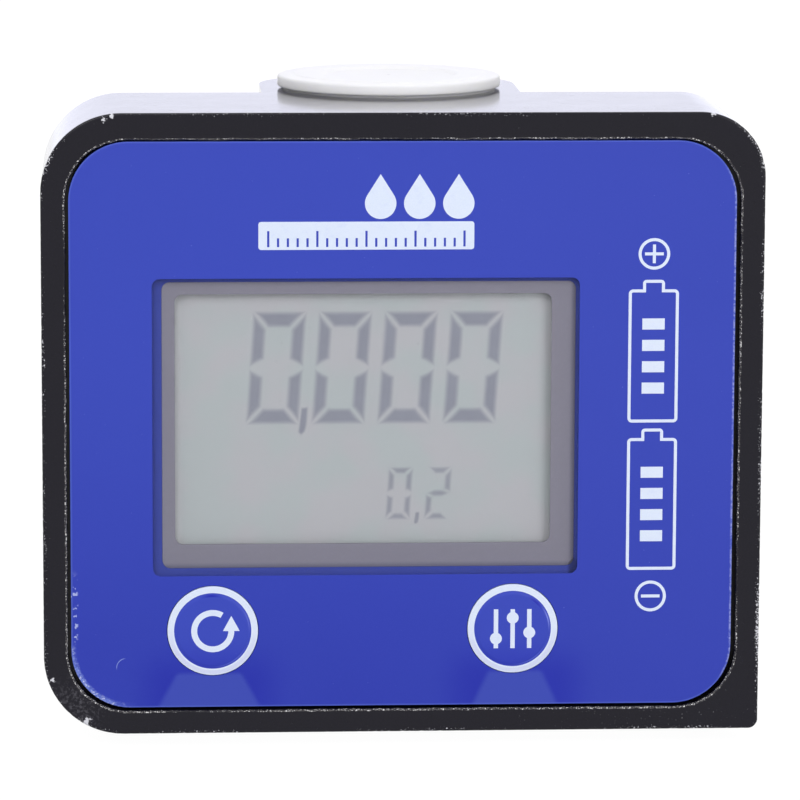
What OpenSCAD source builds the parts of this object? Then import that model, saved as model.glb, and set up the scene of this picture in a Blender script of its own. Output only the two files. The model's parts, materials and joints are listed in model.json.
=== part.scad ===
// Digital turbine flow meter. Lengths are in millimetres. X runs across the face, Y from the
// face to the back and Z along the flow. The origin is on the flow axis, where the inlet's
// thread starts. Flat shapes on the face are drawn from the middle of the cast body.

/* [Body] */
// width of the cast body
body_w = 90; // [89:0.5:100]
// height of the cast body, from one port face to the other
body_h = 78.3; // [76.5:0.1:90]
// depth of the cast body without the flow tube
body_d = 25.2; // [23.5:0.1:28]
// how far the middle of the body lies to the right of the flow axis
body_shift = 0.3; // [-1:0.1:1]
// radius of the body's two left corners
corner_r = 10; // [6:0.5:14]
// radius of the body's top right corner
top_right_r = 8.2; // [5:0.1:12]
// radius of the corner beside the battery cap
cap_corner_r = 1.2; // [0.6:0.1:3]

/* [Frame and pocket] */
// width of the frame's left and right sides
frame_side = 3; // [2:0.1:3.4]
// width of the frame's top side
frame_top = 3.35; // [2.5:0.05:3.7]
// width of the frame's bottom side
frame_bottom = 2.95; // [2.5:0.05:3.5]
// corner radius of the opening in the frame
opening_r = 7.6; // [4:0.1:8]
// width of the step that the cover rests on, at the left
ledge_side = 1.4; // [1:0.1:1.8]
// width of the step that the cover rests on, at the top and bottom
ledge_end = 2; // [1.4:0.1:2.4]
// depth of the electronics' pocket behind the front of the frame
pocket_d = 14.4; // [14:0.1:15]
// radius of the pocket's left corners
pocket_r = 6; // [5:0.1:7]
// radius of the pocket's right corners
pocket_right_r = 2; // [1:0.1:2.2]

/* [Flow tube] */
// width of the flow tube
tube_w = 33.3; // [33:0.1:34.8]
// distance from the flow axis to the front of the flow tube
tube_front = 16.8; // [14.5:0.1:20]
// distance from the flow axis to the back of the flow tube
tube_back = 16.2; // [15:0.1:20]
// radius of the flow tube's back corners
tube_corner_r = 11; // [8:0.5:13]
// crest radius of the port threads
port_r = 12.06; // [11.8:0.01:12.2]
// depth of the port threads
port_thread_t = 1.16; // [0.8:0.01:1.3]
// pitch of the port threads
port_pitch = 1.814; // [1.4:0.001:2]
// length of the port threads
port_l = 13.5; // [11:0.5:14.5]
// radius of the step at the mouth of each port
step_r = 13.8; // [13.5:0.05:14]
// depth of the step at the mouth of each port
step_l = 3.6; // [3:0.1:4.5]
// radius of the bore around the turbine
bore_r = 10.9; // [10.4:0.1:11.4]
// radius of the opening in the lip that stops the inlet support
lip_r = 9.6; // [8.5:0.1:10]
// length of that lip
lip_l = 4; // [3.8:0.1:5]
// length of the raised flow arrow on the back
arrow_l = 26; // [16:1:40]
// width of the arrow's head
arrow_w = 9; // [6:0.5:12]
// width of the arrow's stem
arrow_stem_w = 3; // [2:0.5:5]
// height of the arrow above the flow tube
arrow_t = 0.6; // [0.3:0.1:1]

/* [Port plugs] */
// radius of a plug's rim
plug_r = 14.42; // [14.1:0.01:15]
// thickness of a plug's rim
plug_t = 1.5; // [1:0.1:2.5]
// gap between the rim and the port face
plug_stand = 0.45; // [0.3:0.05:0.8]
// how far a plug reaches into the port
plug_skirt_l = 3.15; // [2:0.05:3.3]
// wall of the plug's skirt
plug_wall = 1.2; // [0.8:0.1:2]
// radius of the shallow dish in the plug
dish_r = 8.75; // [6:0.25:11]
// depth of that dish
dish_t = 0.35; // [0.2:0.05:0.6]

/* [Turbine] */
// height of the turbine rotor
rotor_h = 8; // [6:0.5:10]
// gap between the blade tips and the bore
tip_gap = 0.6; // [0.4:0.1:1]
// radius of the rotor's hub and of the supports' hubs
hub_r = 4.2; // [4.1:0.1:5]
// number of rotor blades
blade_n = 6; // [3:1:8]
// thickness of a blade
blade_t = 1.2; // [0.8:0.1:1.6]
// tilt of the blades from the flow axis, in degrees
blade_tilt = 32; // [20:1:40]
// free length of bore between the retaining ring and the outlet's threads
ring_room = 2.8; // [0.5:0.1:8]
// wall of each support's rim
rim_t = 1.1; // [0.8:0.1:1.5]
// number of vanes in each support
vane_n = 4; // [3:1:6]
// thickness of a vane
vane_t = 1.2; // [0.8:0.1:1.6]
// height of the nose on each support's hub
nose_h = 3.5; // [2:0.1:3.6]
// radius of the nose's end
nose_r = 1.6; // [1.2:0.1:2.5]
// gap between the rotor's hub and each support
hub_gap = 0.8; // [0.5:0.1:1]
// radius of the turbine's shaft
shaft_r = 1; // [0.8:0.05:1.2]
// how far the shaft reaches into each support
shaft_in = 6; // [4:0.5:7]
// outer radius of the rotor's bushes
bush_r = 1.9; // [1.6:0.05:2]
// length of a bush
bush_l = 3; // [2:0.1:3.4]
// end play between a bush and its support
bush_play = 0.3; // [0.2:0.05:0.45]
// radius of a rotor magnet
magnet_r = 0.9; // [0.6:0.05:0.95]
// length of a rotor magnet
magnet_l = 4; // [2:0.5:5]
// thickness of the retaining ring
ring_t = 1; // [0.8:0.1:1.4]
// width of the retaining ring, measured across its section
ring_w = 2; // [1.6:0.1:2.4]
// depth of the retaining ring's groove in the bore
groove_t = 0.9; // [0.6:0.1:1]
// gap between the ends of the retaining ring
ring_gap_w = 4; // [2:0.5:6]

/* [Cover and label] */
// gap beside the label, shared between left and right
label_gap = 0.5; // [0.25:0.05:0.6]
// gap above and below the label
label_gap_end = 0.3; // [0.15:0.05:0.6]
// corner radius of the label
label_r = 7.4; // [4:0.1:7.8]
// how far the label sits left of the middle of its opening
label_left = 0.05; // [0:0.05:0.2]
// how far the label sits above the middle of its opening
label_up = 0.1; // [0:0.05:0.12]
// how far the label lies below the front of the frame
label_sink = 0.3; // [0.2:0.05:0.6]
// thickness of the label
label_t = 0.2; // [0.15:0.05:0.4]
// thickness of the cover under the label
cover_t = 2.1; // [2:0.05:2.3]
// thickness of the gasket behind the cover
gasket_t = 0.5; // [0.3:0.05:0.8]
// thickness of the print on the label
print_t = 0.03; // [0.02:0.01:0.05]

/* [Window] */
// distance from the pocket's left wall to the window
window_in_left = 9.3; // [8:0.1:12]
// distance from the window to the pocket's right wall
window_in_right = 0.26; // [0.1:0.02:1]
// distance from the window to the pocket's top
window_in_top = 15.33; // [12.5:0.01:20]
// gap between the window and the keys below it
window_key_gap = 1.31; // [0.5:0.01:4]
// corner radius of the window
window_r = 1; // [0.4:0.1:2]
// how far the window's pane reaches under the label
pane_lap = 0.6; // [0.4:0.05:0.7]
// thickness of the window's pane
pane_t = 1; // [0.8:0.05:1.2]

/* [Display] */
// gap between the window's left side and the display's bezel
bezel_gap_left = 1.22; // [0.2:0.02:2]
// gap between the display's bezel and the window's right side
bezel_gap_right = 0.4; // [0.2:0.02:2]
// gap between the display's bezel and the window's top
bezel_gap_top = 0.57; // [0.2:0.01:2]
// gap between the display's bezel and the window's bottom
bezel_gap_bottom = 0.82; // [0.2:0.01:2]
// corner radius of the bezel
display_r = 1; // [0.6:0.1:2]
// thickness of the bezel's front
bezel_t = 0.4; // [0.3:0.05:0.6]
// thickness of the bezel's side walls
bezel_wall = 0.5; // [0.4:0.05:0.6]
// width of the bezel's left side
border_left = 1.61; // [0.8:0.01:3]
// width of the bezel's right side
border_right = 2.98; // [0.8:0.01:4]
// width of the bezel's top
border_top = 1.53; // [0.8:0.01:3]
// width of the bezel's bottom
border_bottom = 2.97; // [0.8:0.01:4]
// thickness of the front glass
glass_t = 1; // [0.7:0.05:1.1]
// gap between the glass and the bezel's walls
glass_gap = 0.12; // [0.05:0.01:0.2]
// thickness of the lit segments
segment_t = 0.05; // [0.02:0.01:0.1]
// thickness of the rear glass
rear_glass_t = 0.95; // [0.7:0.05:1.1]
// height of the front glass's contact strip below the rear glass
contact_strip_h = 1.7; // [1.5:0.05:2]
// thickness of the reflector
reflector_t = 0.2; // [0.1:0.05:0.3]
// thickness of the rubber connector strip
connector_t = 1.3; // [1:0.05:1.4]
// gap between the bezel's walls and what lies behind the glass
cushion_gap = 1.8; // [0.5:0.1:4]

/* [Digits] */
// height of the large digits, as a share of the height that is seen
digit_h_share = 0.441; // [0.3:0.001:0.45]
// width of the large digits, as a share of the width that is seen
digit_w_share = 0.138; // [0.1:0.001:0.15]
// from one large digit to the next, as a share of the width
digit_pitch_share = 0.1747; // [0.165:0.0001:0.19]
// upright strokes of the large digits, as a share of the width
digit_stroke_share = 0.0338; // [0.02:0.0001:0.04]
// level strokes of the large digits, as a share of the height
digit_bar_share = 0.0582; // [0.03:0.0001:0.065]
// height of the small digits, as a share of the height that is seen
small_h_share = 0.2065; // [0.15:0.0005:0.23]
// width of the small digits, as a share of the width that is seen
small_w_share = 0.0627; // [0.04:0.0001:0.07]
// from one small digit to the next, as a share of the width
small_pitch_share = 0.1041; // [0.095:0.0001:0.12]
// strokes of the small digits, as a share of the width
small_stroke_share = 0.0149; // [0.008:0.0001:0.018]
// gap between two strokes of a digit
stroke_gap = 0.1; // [0.05:0.01:0.2]
// lean of the digits, in degrees
lean = 3.9; // [0:0.1:8]

/* [Keys] */
// radius of a key
key_r = 5.67; // [5:0.01:5.8]
// height of the keys' middle above the pocket's bottom
key_up = 8.17; // [7.6:0.01:9.5]
// distance from the pocket's left wall to the middle of the reset key
reset_in = 16.75; // [15:0.05:22]
// distance from the middle of the calibration key to the pocket's right wall
cal_in = 8.36; // [8.2:0.02:14]
// how far a key stands above the label
key_rise = 0.15; // [0.05:0.01:0.25]
// thickness of a key's head
key_t = 1.05; // [0.9:0.05:1.1]
// how far a key can be pressed
key_travel = 0.35; // [0.25:0.01:0.4]
// radius of a key's stem
key_stem_r = 3.5; // [3.2:0.05:3.8]
// radius of the stem where its clip sits
key_neck_r = 3; // [2.4:0.05:3.1]
// outer radius of the clip behind a key
clip_r = 4.6; // [4.2:0.05:4.7]
// thickness of that clip
clip_t = 0.5; // [0.3:0.05:0.6]
// width of the white ring on a key
key_ring_w = 0.95; // [0.5:0.05:1.2]
// width and height of a switch housing
switch_w = 5.2; // [4.6:0.1:5.3]
// height of a switch housing above the board
switch_t = 1.6; // [1.4:0.05:1.8]
// radius of a switch's plunger
plunger_r = 1.2; // [0.9:0.05:1.5]
// height of a plunger above its housing
plunger_l = 0.9; // [0.5:0.05:1]
// depth of the plunger inside its housing
plunger_in = 0.4; // [0.2:0.05:0.5]

/* [Circuit board] */
// depth of the board's front behind the front of the frame
board_d = 6.4; // [6.2:0.05:6.8]
// thickness of the board
board_t = 1.6; // [1:0.1:1.8]
// gap between the board and the pocket's left wall
board_gap = 1.6; // [1:0.1:2]
// gap between the board and the pocket's right wall
board_gap_right = 0.6; // [0.3:0.1:1]
// height of the board's bottom edge above the pocket's bottom
board_up = 3.6; // [1:0.1:4.8]
// radius of the cover's board posts
post_r = 1.9; // [1.6:0.05:2]
// radius of a board screw
board_screw_r = 0.85; // [0.7:0.05:1]
// length of a board screw below its head
board_screw_l = 4.6; // [3:0.1:5]
// radius of a board screw's head
board_head_r = 1.8; // [1.4:0.05:1.9]
// height of a board screw's head
board_head_t = 1.2; // [0.8:0.1:1.6]
// width and height of the driver chip
chip_w = 10; // [7:0.5:12]
// thickness of the driver chip
chip_t = 1.3; // [1:0.1:2]
// radius of the clock crystal
crystal_r = 1.5; // [1:0.1:2]
// length of the clock crystal
crystal_l = 4; // [3:0.5:5]
// width of the pickup sensor
sensor_w = 5; // [3:0.5:8]
// height of the pickup sensor
sensor_h = 3; // [2:0.5:5]
// thickness of the pickup sensor
sensor_t = 1.6; // [1:0.1:2]
// gap between the pickup sensor and the flow tube
sensor_gap = 0.4; // [0.2:0.1:0.8]
// width of the sensor's legs
leg_w = 0.5; // [0.3:0.1:0.8]
// thickness of the contact metal
contact_t = 0.4; // [0.2:0.05:0.5]
// width of the contact strips
strip_w = 2; // [1.4:0.1:2.4]

/* [Cover screws] */
// distance of the left screws from the pocket's left wall
screw_in_left = 4.4; // [4.2:0.1:5]
// distance of the left screws from the pocket's top and bottom
screw_in_left_end = 4; // [3.8:0.1:5]
// distance of the right screws from the pocket's right wall
screw_in_right = 2.7; // [2.7:0.05:2.8]
// distance of the right screws from the pocket's top and bottom
screw_in_right_end = 3; // [2.8:0.1:3.1]
// radius of the posts and bosses around the screws
boss_r = 2.6; // [2.3:0.05:2.65]
// depth at which the cover's posts meet the body's bosses
boss_d = 9; // [8.6:0.1:10]
// radius of a cover screw
screw_r = 1.2; // [1:0.05:1.25]
// how far a cover screw reaches into its insert
screw_grip = 4; // [2:0.1:4.6]
// radius of a cover screw's head
screw_head_r = 2.2; // [1.8:0.05:2.3]
// height of a cover screw's head
screw_head_t = 1.5; // [1:0.1:2]
// width of the screw heads' slots
driver_w = 0.7; // [0.5:0.1:1]
// depth of the screw heads' slots
driver_t = 0.6; // [0.4:0.1:0.8]
// outer radius of the threaded inserts
insert_r = 1.75; // [1.6:0.05:1.9]
// length of the threaded inserts
insert_l = 5; // [3:0.1:5.6]

/* [Battery well] */
// share of the spare metal beside the battery well that lies on its left
well_left_share = 0.28; // [0.1:0.01:0.6]
// how far the battery well lies behind the middle of the body's depth
well_back = 0.4; // [0:0.1:1]
// radius of a battery cell
cell_r = 6; // [5.8:0.05:6.1]
// length of the spring under the cells
spring_l = 5.35; // [4:0.05:8]
// radius of a cell's end cap
nub_r = 2.6; // [2:0.1:3]
// height of a cell's end cap
nub_h = 0.9; // [0.5:0.1:1.5]
// gap around a cell
cell_gap = 0.5; // [0.3:0.05:0.55]
// thickness of the body above the battery well
roof_t = 3.4; // [3:0.1:3.8]
// thickness of the insulating disc
insulator_t = 0.8; // [0.5:0.1:1.2]
// crest radius of the battery cap's thread
well_thread_r = 7.2; // [7:0.05:7.3]
// depth of the battery cap's thread
well_thread_t = 0.8; // [0.5:0.05:0.9]
// pitch of the battery cap's thread
well_pitch = 1.5; // [1:0.05:1.75]
// length of the battery cap's thread
well_thread_l = 7.9; // [7.8:0.1:9]
// radius of the battery cap's head
cap_r = 9; // [8.6:0.1:9.2]
// thickness of the battery cap's head
cap_t = 1.6; // [1.4:0.05:2]
// gap between the cap's head and the recess around it
recess_gap = 0.3; // [0.2:0.05:0.4]
// how far the cap's head lies inside the end of the body
cap_inset = 0.2; // [0:0.05:0.5]
// length of the battery cap's shank
shank_l = 7.4; // [6.6:0.1:7.6]
// depth of the cup in the shank
cup_l = 2; // [1.5:0.1:3]
// radius of the cup in the shank
cup_r = 4.6; // [4.2:0.1:5.2]
// thickness of the battery cap's seal
seal_t = 0.35; // [0.25:0.05:0.6]
// width of the seal, measured across its section
seal_w = 1.4; // [1:0.1:1.4]
// width of the coin slot
coin_w = 2.4; // [1.5:0.1:3]
// depth of the coin slot
coin_t = 1; // [0.6:0.05:1.1]
// outer radius of the spring
spring_r = 4; // [3.5:0.1:4.1]
// thickness of the spring's coil
spring_t = 0.8; // [0.5:0.1:1]

/* [Fits] */
// gap around a piece that slides or turns in a hole
run_gap = 0.09; // [0.05:0.01:0.1]
// gap around a piece that is fixed in a hole
fix_gap = 0.03; // [0.02:0.01:0.05]
// gap around a screw in its through hole
screw_gap = 0.25; // [0.15:0.05:0.3]
// gap between the flow tube and the screw heads beside it
head_gap = 0.95; // [0.2:0.05:1]

/* [Hidden] */
$fn = 96;
// how far a cut runs past the face it starts from
cut = 1;

// share of a thread's pitch that is open at its crest, and at its root
crest_share = 0.84;
root_share = 0.16;
// the same at the crest of the port threads, which are cut as narrow rings
port_crest_share = 0.24;

// heights of the two port faces and of the body's middle
end_lo = -step_l;
end_hi = end_lo + body_h;
mid_z = (end_lo + end_hi) / 2;
axis_depth = pocket_d + tube_front;

// the opening in the frame and the label in it
opening_w = body_w - 2 * frame_side;
opening_h = body_h - frame_top - frame_bottom;
opening_z = (frame_bottom - frame_top) / 2;
label_w = opening_w - 2 * label_gap;
label_h = opening_h - 2 * label_gap_end;
label_x = -label_left;
label_z = opening_z + label_up;

// the pocket, the screws beside the flow tube and the battery well beyond them
pocket_left = -opening_w / 2 + ledge_side;
screw_left = pocket_left + screw_in_left;
screw_right = tube_w / 2 - body_shift + head_gap + screw_head_r;
pocket_right = screw_right + screw_in_right;
pocket_lo = opening_z - opening_h / 2 + ledge_end;
pocket_hi = opening_z + opening_h / 2 - ledge_end;
well_from = screw_right + screw_r + screw_gap;
well_outer_r = well_thread_r + well_thread_t;
well_spare = body_w / 2 - well_from - 2 * well_outer_r;
well_x = well_from + well_spare * well_left_share + well_outer_r;
well_d = body_d / 2 + well_back;

// the keys, the window above them and the display in it
key_z = pocket_lo + key_up;
reset_x = pocket_left + reset_in;
cal_x = pocket_right - cal_in;
window_left = pocket_left + window_in_left;
window_right = pocket_right - window_in_right;
window_lo = key_z + key_r + window_key_gap;
window_hi = pocket_hi - window_in_top;
display_left = window_left + bezel_gap_left;
display_right = window_right - bezel_gap_right;
display_lo = window_lo + bezel_gap_bottom;
display_hi = window_hi - bezel_gap_top;
display_w = display_right - display_left;
display_h = display_hi - display_lo;
view_left = display_left + border_left;
view_lo = display_lo + border_bottom;
view_w = display_right - border_right - view_left;
view_h = display_hi - border_top - view_lo;

// depths of the layers behind the front of the frame
cover_d = label_sink + label_t;
gasket_d = cover_d + cover_t;
ledge_d = gasket_d + gasket_t;
bezel_d = cover_d + pane_t;
glass_d = bezel_d + bezel_t;
segment_d = glass_d + glass_t;
rear_glass_d = segment_d + segment_t;
reflector_d = rear_glass_d + rear_glass_t;
cushion_d = reflector_d + reflector_t;
board_back_d = board_d + board_t;
key_d = label_sink - key_rise;
key_back_d = key_d + key_t;
plunger_d = board_d - switch_t - plunger_l;

// the screws that hold the cover
screw_l = body_d - boss_d + screw_grip;
cover_screw_at = [
  [screw_left, pocket_lo + screw_in_left_end], [screw_left, pocket_hi - screw_in_left_end],
  [screw_right, pocket_lo + screw_in_right_end], [screw_right, pocket_hi - screw_in_right_end]
];

// the board and the posts that hold it, the upper ones above the display
post_in_side = 3.5;
post_in_top = 2.4;
post_display_gap = 1.2;
post_lo_up = 8.6;
post_mid_up = 5.6;
board_left = pocket_left + board_gap;
board_right = pocket_right - board_gap_right;
board_lo = pocket_lo + board_up;
board_hi = display_hi + post_display_gap + post_r + post_in_top;
board_w = board_right - board_left;
board_h = board_hi - board_lo;
board_screw_at = [
  [board_left + post_in_side, board_hi - post_in_top],
  [board_right - post_in_side, board_hi - post_in_top],
  [board_left + post_in_side, board_lo + post_lo_up],
  [(reset_x + cal_x) / 2, board_lo + post_mid_up]
];
// gap between the board and the cover's posts
post_gap = 0.3;

// flow tube and turbine
ring_play = 0.1;
support_lo = port_l + lip_l;
top_thread_lo = end_hi - step_l - port_l;
support_h = (top_thread_lo - ring_room - 2 * ring_play - ring_t - support_lo
  - rotor_h - 2 * hub_gap) / 2;
rotor_lo = support_lo + support_h + hub_gap;
rotor_mid = rotor_lo + rotor_h / 2;
support_hi = rotor_lo + rotor_h + hub_gap;
ring_lo = support_hi + support_h + ring_play;
magnet_ring_r = (bush_r + hub_r) / 2;
tip_r = bore_r - tip_gap;

// battery well, from its roof down
well_r = cell_r + cell_gap;
well_hi = end_hi - roof_t;
contact_hi = well_hi - insulator_t;
upper_hi = contact_hi - contact_t;
seat_z = end_lo + cap_inset + cap_t + seal_t;
shank_hi = seat_z + shank_l;
cup_lo = shank_hi - cup_l;
lower_lo = cup_lo + contact_t + spring_l;
cell_l = (upper_hi - lower_lo) / 2;
lower_hi = upper_hi - cell_l;
shank_r = well_thread_r - run_gap;
// depth of the thread cut into the cap's shank
shank_thread_t = 0.6;

// channel for the contact strip between the well and the pocket
lead_in = 6.6;
lead_foot_down = 1.2;
lead_x = pocket_right - lead_in;
lead_floor_gap = 0.4;
channel_w = 2;
lead_d = pocket_d - lead_floor_gap - strip_w;
channel_d = lead_d - run_gap;
lead_foot_z = board_hi - lead_foot_down;

// print on the label, placed from the photo
bar_w = 26.8;
bar_h = 3.5;
bar_r = 0.35;
bar_down = 11.77;
bar_x = (window_left + window_right) / 2;
bar_z = label_z + label_h / 2 - bar_down;
drop_w = 3.9;
drop_h = 5.6;
drop_pitch = 4.85;
drop_n = 3;
drop_gap = 0.32;
drop_x = bar_x + bar_w / 2 - drop_w / 2 - (drop_n - 1) * drop_pitch;
drop_z = bar_z + bar_h / 2 + drop_gap;
tick_n = 21;
tick_w = 0.28;
tick_short = 1.1;
tick_long = 2;
tick_every = 5;
line_w = 0.38;
battery_w = 6.28;
battery_h = 16.82;
battery_r = 0.55;
terminal_w = 2.74;
terminal_h = 1.2;
terminal_r = 0.45;
upper_battery_z = 8.54;
lower_battery_z = -10.25;
level_n = 4;
level_w = 2.8;
level_h = 1.4;
level_pitch = 2.7;
sign_r = 1.98;
sign_w = 2.35;
plus_z = 21.41;
minus_z = -22.02;

// marks on the keys
arc_r = 2.7;
arc_w = 0.75;
arc_open = 60;
head_w = 2.1;
head_l = 1.9;
slider_h = 5;
slider_w = 0.55;
slider_pitch = 2.1;
knob_r = 0.75;
knob_share = [-0.25, 0.28, -0.1];

// seven strokes of a digit, from the top one round to the middle one
zero = [true, true, true, true, true, true, false];
two = [true, true, false, true, true, false, true];

// places and sizes in the display as shares of the seen width and height: right, up, width, height
digit_shares = [0.191, 0.4787, digit_w_share, digit_h_share];
small_shares = [0.5626, 0.0898, small_w_share, small_h_share];
comma_shares = [0.3396, 0.4445, 0.0181, 0.098];
small_comma_shares = [0.6393, 0.0715, 0.0117, 0.0411];

// places on the board, as shares of its width and height from its middle
chip_shares = [-0.12, 0.104];
crystal_shares = [-0.318, 0.326];
ground_shares = [-0.038, 0.307];
board_part_shares = [
  [-0.351, -0.007], [-0.351, -0.081], [-0.285, -0.193], [0.111, 0.326], [0.177, 0.326],
  [0.243, 0.326], [0.309, 0.141], [0.309, -0.007], [0.309, -0.063], [-0.054, -0.23],
  [0.21, -0.248]
];
// sizes of the small parts on the board: width, height, thickness
small_part = [2, 1.2, 0.8];
long_part = [3.2, 1.6, 1.1];
board_part_size = [
  long_part, long_part, [4.2, 3.2, 2.2], small_part, small_part,
  small_part, [5, 4, 1.8], small_part, small_part, [3, 2.6, 1.3],
  long_part
];
ground_foot = 3;

// Helpers.

// a flat shape on the face, given thickness from a depth backwards
module layer(depth, thickness) {
  translate([body_shift, depth + thickness - axis_depth, mid_z])
    rotate([90, 0, 0])
      linear_extrude(thickness) children();
}

module at_well(z) {
  translate([body_shift + well_x, well_d - axis_depth, z]) children();
}

module soft_rect(w, h, r) {
  union() {
    square([w, h - 2 * r], center = true);
    square([w - 2 * r, h], center = true);
    for (x = [-1, 1]) for (y = [-1, 1])
      translate([x * (w / 2 - r), y * (h / 2 - r)]) circle(r = r);
  }
}

module corner_cut(r) {
  difference() {
    translate([-cut, -cut]) square(r + cut);
    translate([r, r]) circle(r = r);
  }
}

module span_rect(x0, x1, y0, y1) {
  translate([x0, y0]) square([x1 - x0, y1 - y0]);
}

module ring(outer, width) {
  difference() {
    circle(r = outer);
    circle(r = outer - width);
  }
}

// rings cut outwards from a bore, or inwards from a shaft when side is -1
module thread_cuts(r, depth, pitch, length, side, open_share) {
  wide = pitch * open_share / 2;
  narrow = pitch * root_share / 2;
  count = floor(length / pitch);
  for (k = [0 : count - 1])
    translate([0, 0, (k + 1 / 2) * pitch])
      rotate_extrude()
        polygon([
          [r - side * cut, -wide], [r, -wide], [r + side * depth, -narrow],
          [r + side * depth, narrow], [r, wide], [r - side * cut, wide]
        ]);
}

// Cast body.

module body_outline() {
  difference() {
    square([body_w, body_h], center = true);
    translate([-body_w / 2, -body_h / 2]) corner_cut(corner_r);
    translate([body_w / 2, -body_h / 2]) rotate(90) corner_cut(cap_corner_r);
    translate([body_w / 2, body_h / 2]) rotate(180) corner_cut(top_right_r);
    translate([-body_w / 2, body_h / 2]) rotate(270) corner_cut(corner_r);
  }
}

module pocket_outline() {
  difference() {
    span_rect(pocket_left, pocket_right, pocket_lo, pocket_hi);
    translate([pocket_left, pocket_lo]) corner_cut(pocket_r);
    translate([pocket_right, pocket_lo]) rotate(90) corner_cut(pocket_right_r);
    translate([pocket_right, pocket_hi]) rotate(180) corner_cut(pocket_right_r);
    translate([pocket_left, pocket_hi]) rotate(270) corner_cut(pocket_r);
  }
}

// the pocket behind the cover's posts, without the bosses in its corners
module deep_pocket_outline() {
  difference() {
    pocket_outline();
    for (p = cover_screw_at)
      span_rect(
        p[0] < 0 ? pocket_left - cut : p[0] - boss_r,
        p[0] < 0 ? p[0] + boss_r : pocket_right + cut,
        p[1] < 0 ? pocket_lo - cut : p[1] - boss_r,
        p[1] < 0 ? p[1] + boss_r : pocket_hi + cut
      );
  }
}

module housing() {
  color("#2a2a2e") difference() {
    layer(0, body_d) body_outline();
    layer(-cut, ledge_d + cut)
      translate([0, opening_z]) soft_rect(opening_w, opening_h, opening_r);
    layer(-cut, boss_d + cut) pocket_outline();
    layer(boss_d - cut, pocket_d - boss_d + cut) deep_pocket_outline();
    translate([-tube_w / 2, -tube_front, end_lo - cut])
      cube([tube_w, tube_front + cut, body_h + 2 * cut]);
    at_well(end_lo - cut) cylinder(r = cap_r + recess_gap, h = seat_z - end_lo + cut);
    at_well(seat_z - cut) cylinder(r = well_r, h = well_hi - seat_z + cut);
    at_well(seat_z - cut) cylinder(r = well_thread_r, h = well_thread_l + cut);
    at_well(seat_z)
      thread_cuts(well_thread_r, well_thread_t, well_pitch, well_thread_l, 1, crest_share);
    layer(channel_d, pocket_d - channel_d)
      span_rect(lead_x - channel_w / 2, well_x, pocket_hi - cut, well_hi - mid_z);
    layer(boss_d - cut, body_d - boss_d + 2 * cut)
      for (p = cover_screw_at) translate(p) circle(r = screw_r + screw_gap);
  }
}

module tube_outline() {
  difference() {
    translate([-tube_w / 2, -tube_front]) square([tube_w, tube_front + tube_back]);
    translate([tube_w / 2, tube_back]) rotate(180) corner_cut(tube_corner_r);
    translate([-tube_w / 2, tube_back]) rotate(270) corner_cut(tube_corner_r);
  }
}

module flow_arrow() {
  translate([0, tube_back + arrow_t, mid_z])
    rotate([90, 0, 0])
      linear_extrude(arrow_t + cut)
        polygon([
          [-arrow_stem_w / 2, -arrow_l / 2], [arrow_stem_w / 2, -arrow_l / 2],
          [arrow_stem_w / 2, arrow_l / 2 - arrow_w], [arrow_w / 2, arrow_l / 2 - arrow_w],
          [0, arrow_l / 2], [-arrow_w / 2, arrow_l / 2 - arrow_w],
          [-arrow_stem_w / 2, arrow_l / 2 - arrow_w]
        ]);
}

module flow_tube() {
  color("#2a2a2e") difference() {
    union() {
      translate([0, 0, end_lo]) linear_extrude(body_h) tube_outline();
      flow_arrow();
    }
    translate([0, 0, end_lo - cut]) cylinder(r = lip_r, h = body_h + 2 * cut);
    translate([0, 0, support_lo]) cylinder(r = bore_r, h = body_h - support_lo);
    translate([0, 0, -cut]) cylinder(r = port_r, h = port_l + cut);
    translate([0, 0, top_thread_lo]) cylinder(r = port_r, h = port_l + cut);
    for (z = [0, top_thread_lo])
      translate([0, 0, z])
        thread_cuts(port_r, port_thread_t, port_pitch, port_l, 1, port_crest_share);
    translate([0, 0, end_lo - cut]) cylinder(r = step_r, h = step_l + cut);
    translate([0, 0, end_hi - step_l]) cylinder(r = step_r, h = step_l + cut);
    translate([0, 0, ring_lo - ring_play])
      cylinder(r = bore_r + groove_t, h = ring_t + 2 * ring_play);
  }
}

// Cover, label and print.

module label_outline() {
  translate([label_x, label_z]) soft_rect(label_w, label_h, label_r);
}

// a rounded rectangle given by its lower left corner, drawn larger by extra on each side
module corner_rect(x, z, w, h, r, extra) {
  translate([x + w / 2, z + h / 2]) soft_rect(w + 2 * extra, h + 2 * extra, r + extra);
}

module window_outline(extra) {
  corner_rect(window_left, window_lo, window_right - window_left, window_hi - window_lo,
    window_r, extra);
}

module display_outline(extra) {
  corner_rect(display_left, display_lo, display_w, display_h, display_r, extra);
}

module at_keys() {
  for (x = [reset_x, cal_x]) translate([x, key_z]) children();
}

module cover_plate() {
  color("#3f4aa0") difference() {
    union() {
      layer(cover_d, cover_t) label_outline();
      layer(gasket_d - cut, boss_d - gasket_d + cut)
        for (p = cover_screw_at) translate(p) circle(r = boss_r);
      layer(gasket_d - cut, board_d - gasket_d + cut)
        for (p = board_screw_at) translate(p) circle(r = post_r);
    }
    layer(cover_d - cut, pane_t + cut) window_outline(pane_lap + fix_gap);
    layer(cover_d - cut, cover_t + 2 * cut) display_outline(fix_gap);
    layer(cover_d - cut, key_back_d - cover_d + key_travel + run_gap + cut)
      at_keys() circle(r = key_r + run_gap);
    layer(cover_d - cut, cover_t + 2 * cut) at_keys() circle(r = key_stem_r + run_gap);
    layer(boss_d - insert_l, insert_l + cut)
      for (p = cover_screw_at) translate(p) circle(r = insert_r + fix_gap);
    layer(board_back_d - board_screw_l - fix_gap, board_screw_l)
      for (p = board_screw_at) translate(p) circle(r = board_screw_r + fix_gap);
  }
}

module cover_gasket() {
  color("#1d1d1f") layer(gasket_d, gasket_t) difference() {
    label_outline();
    pocket_outline();
  }
}

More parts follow.
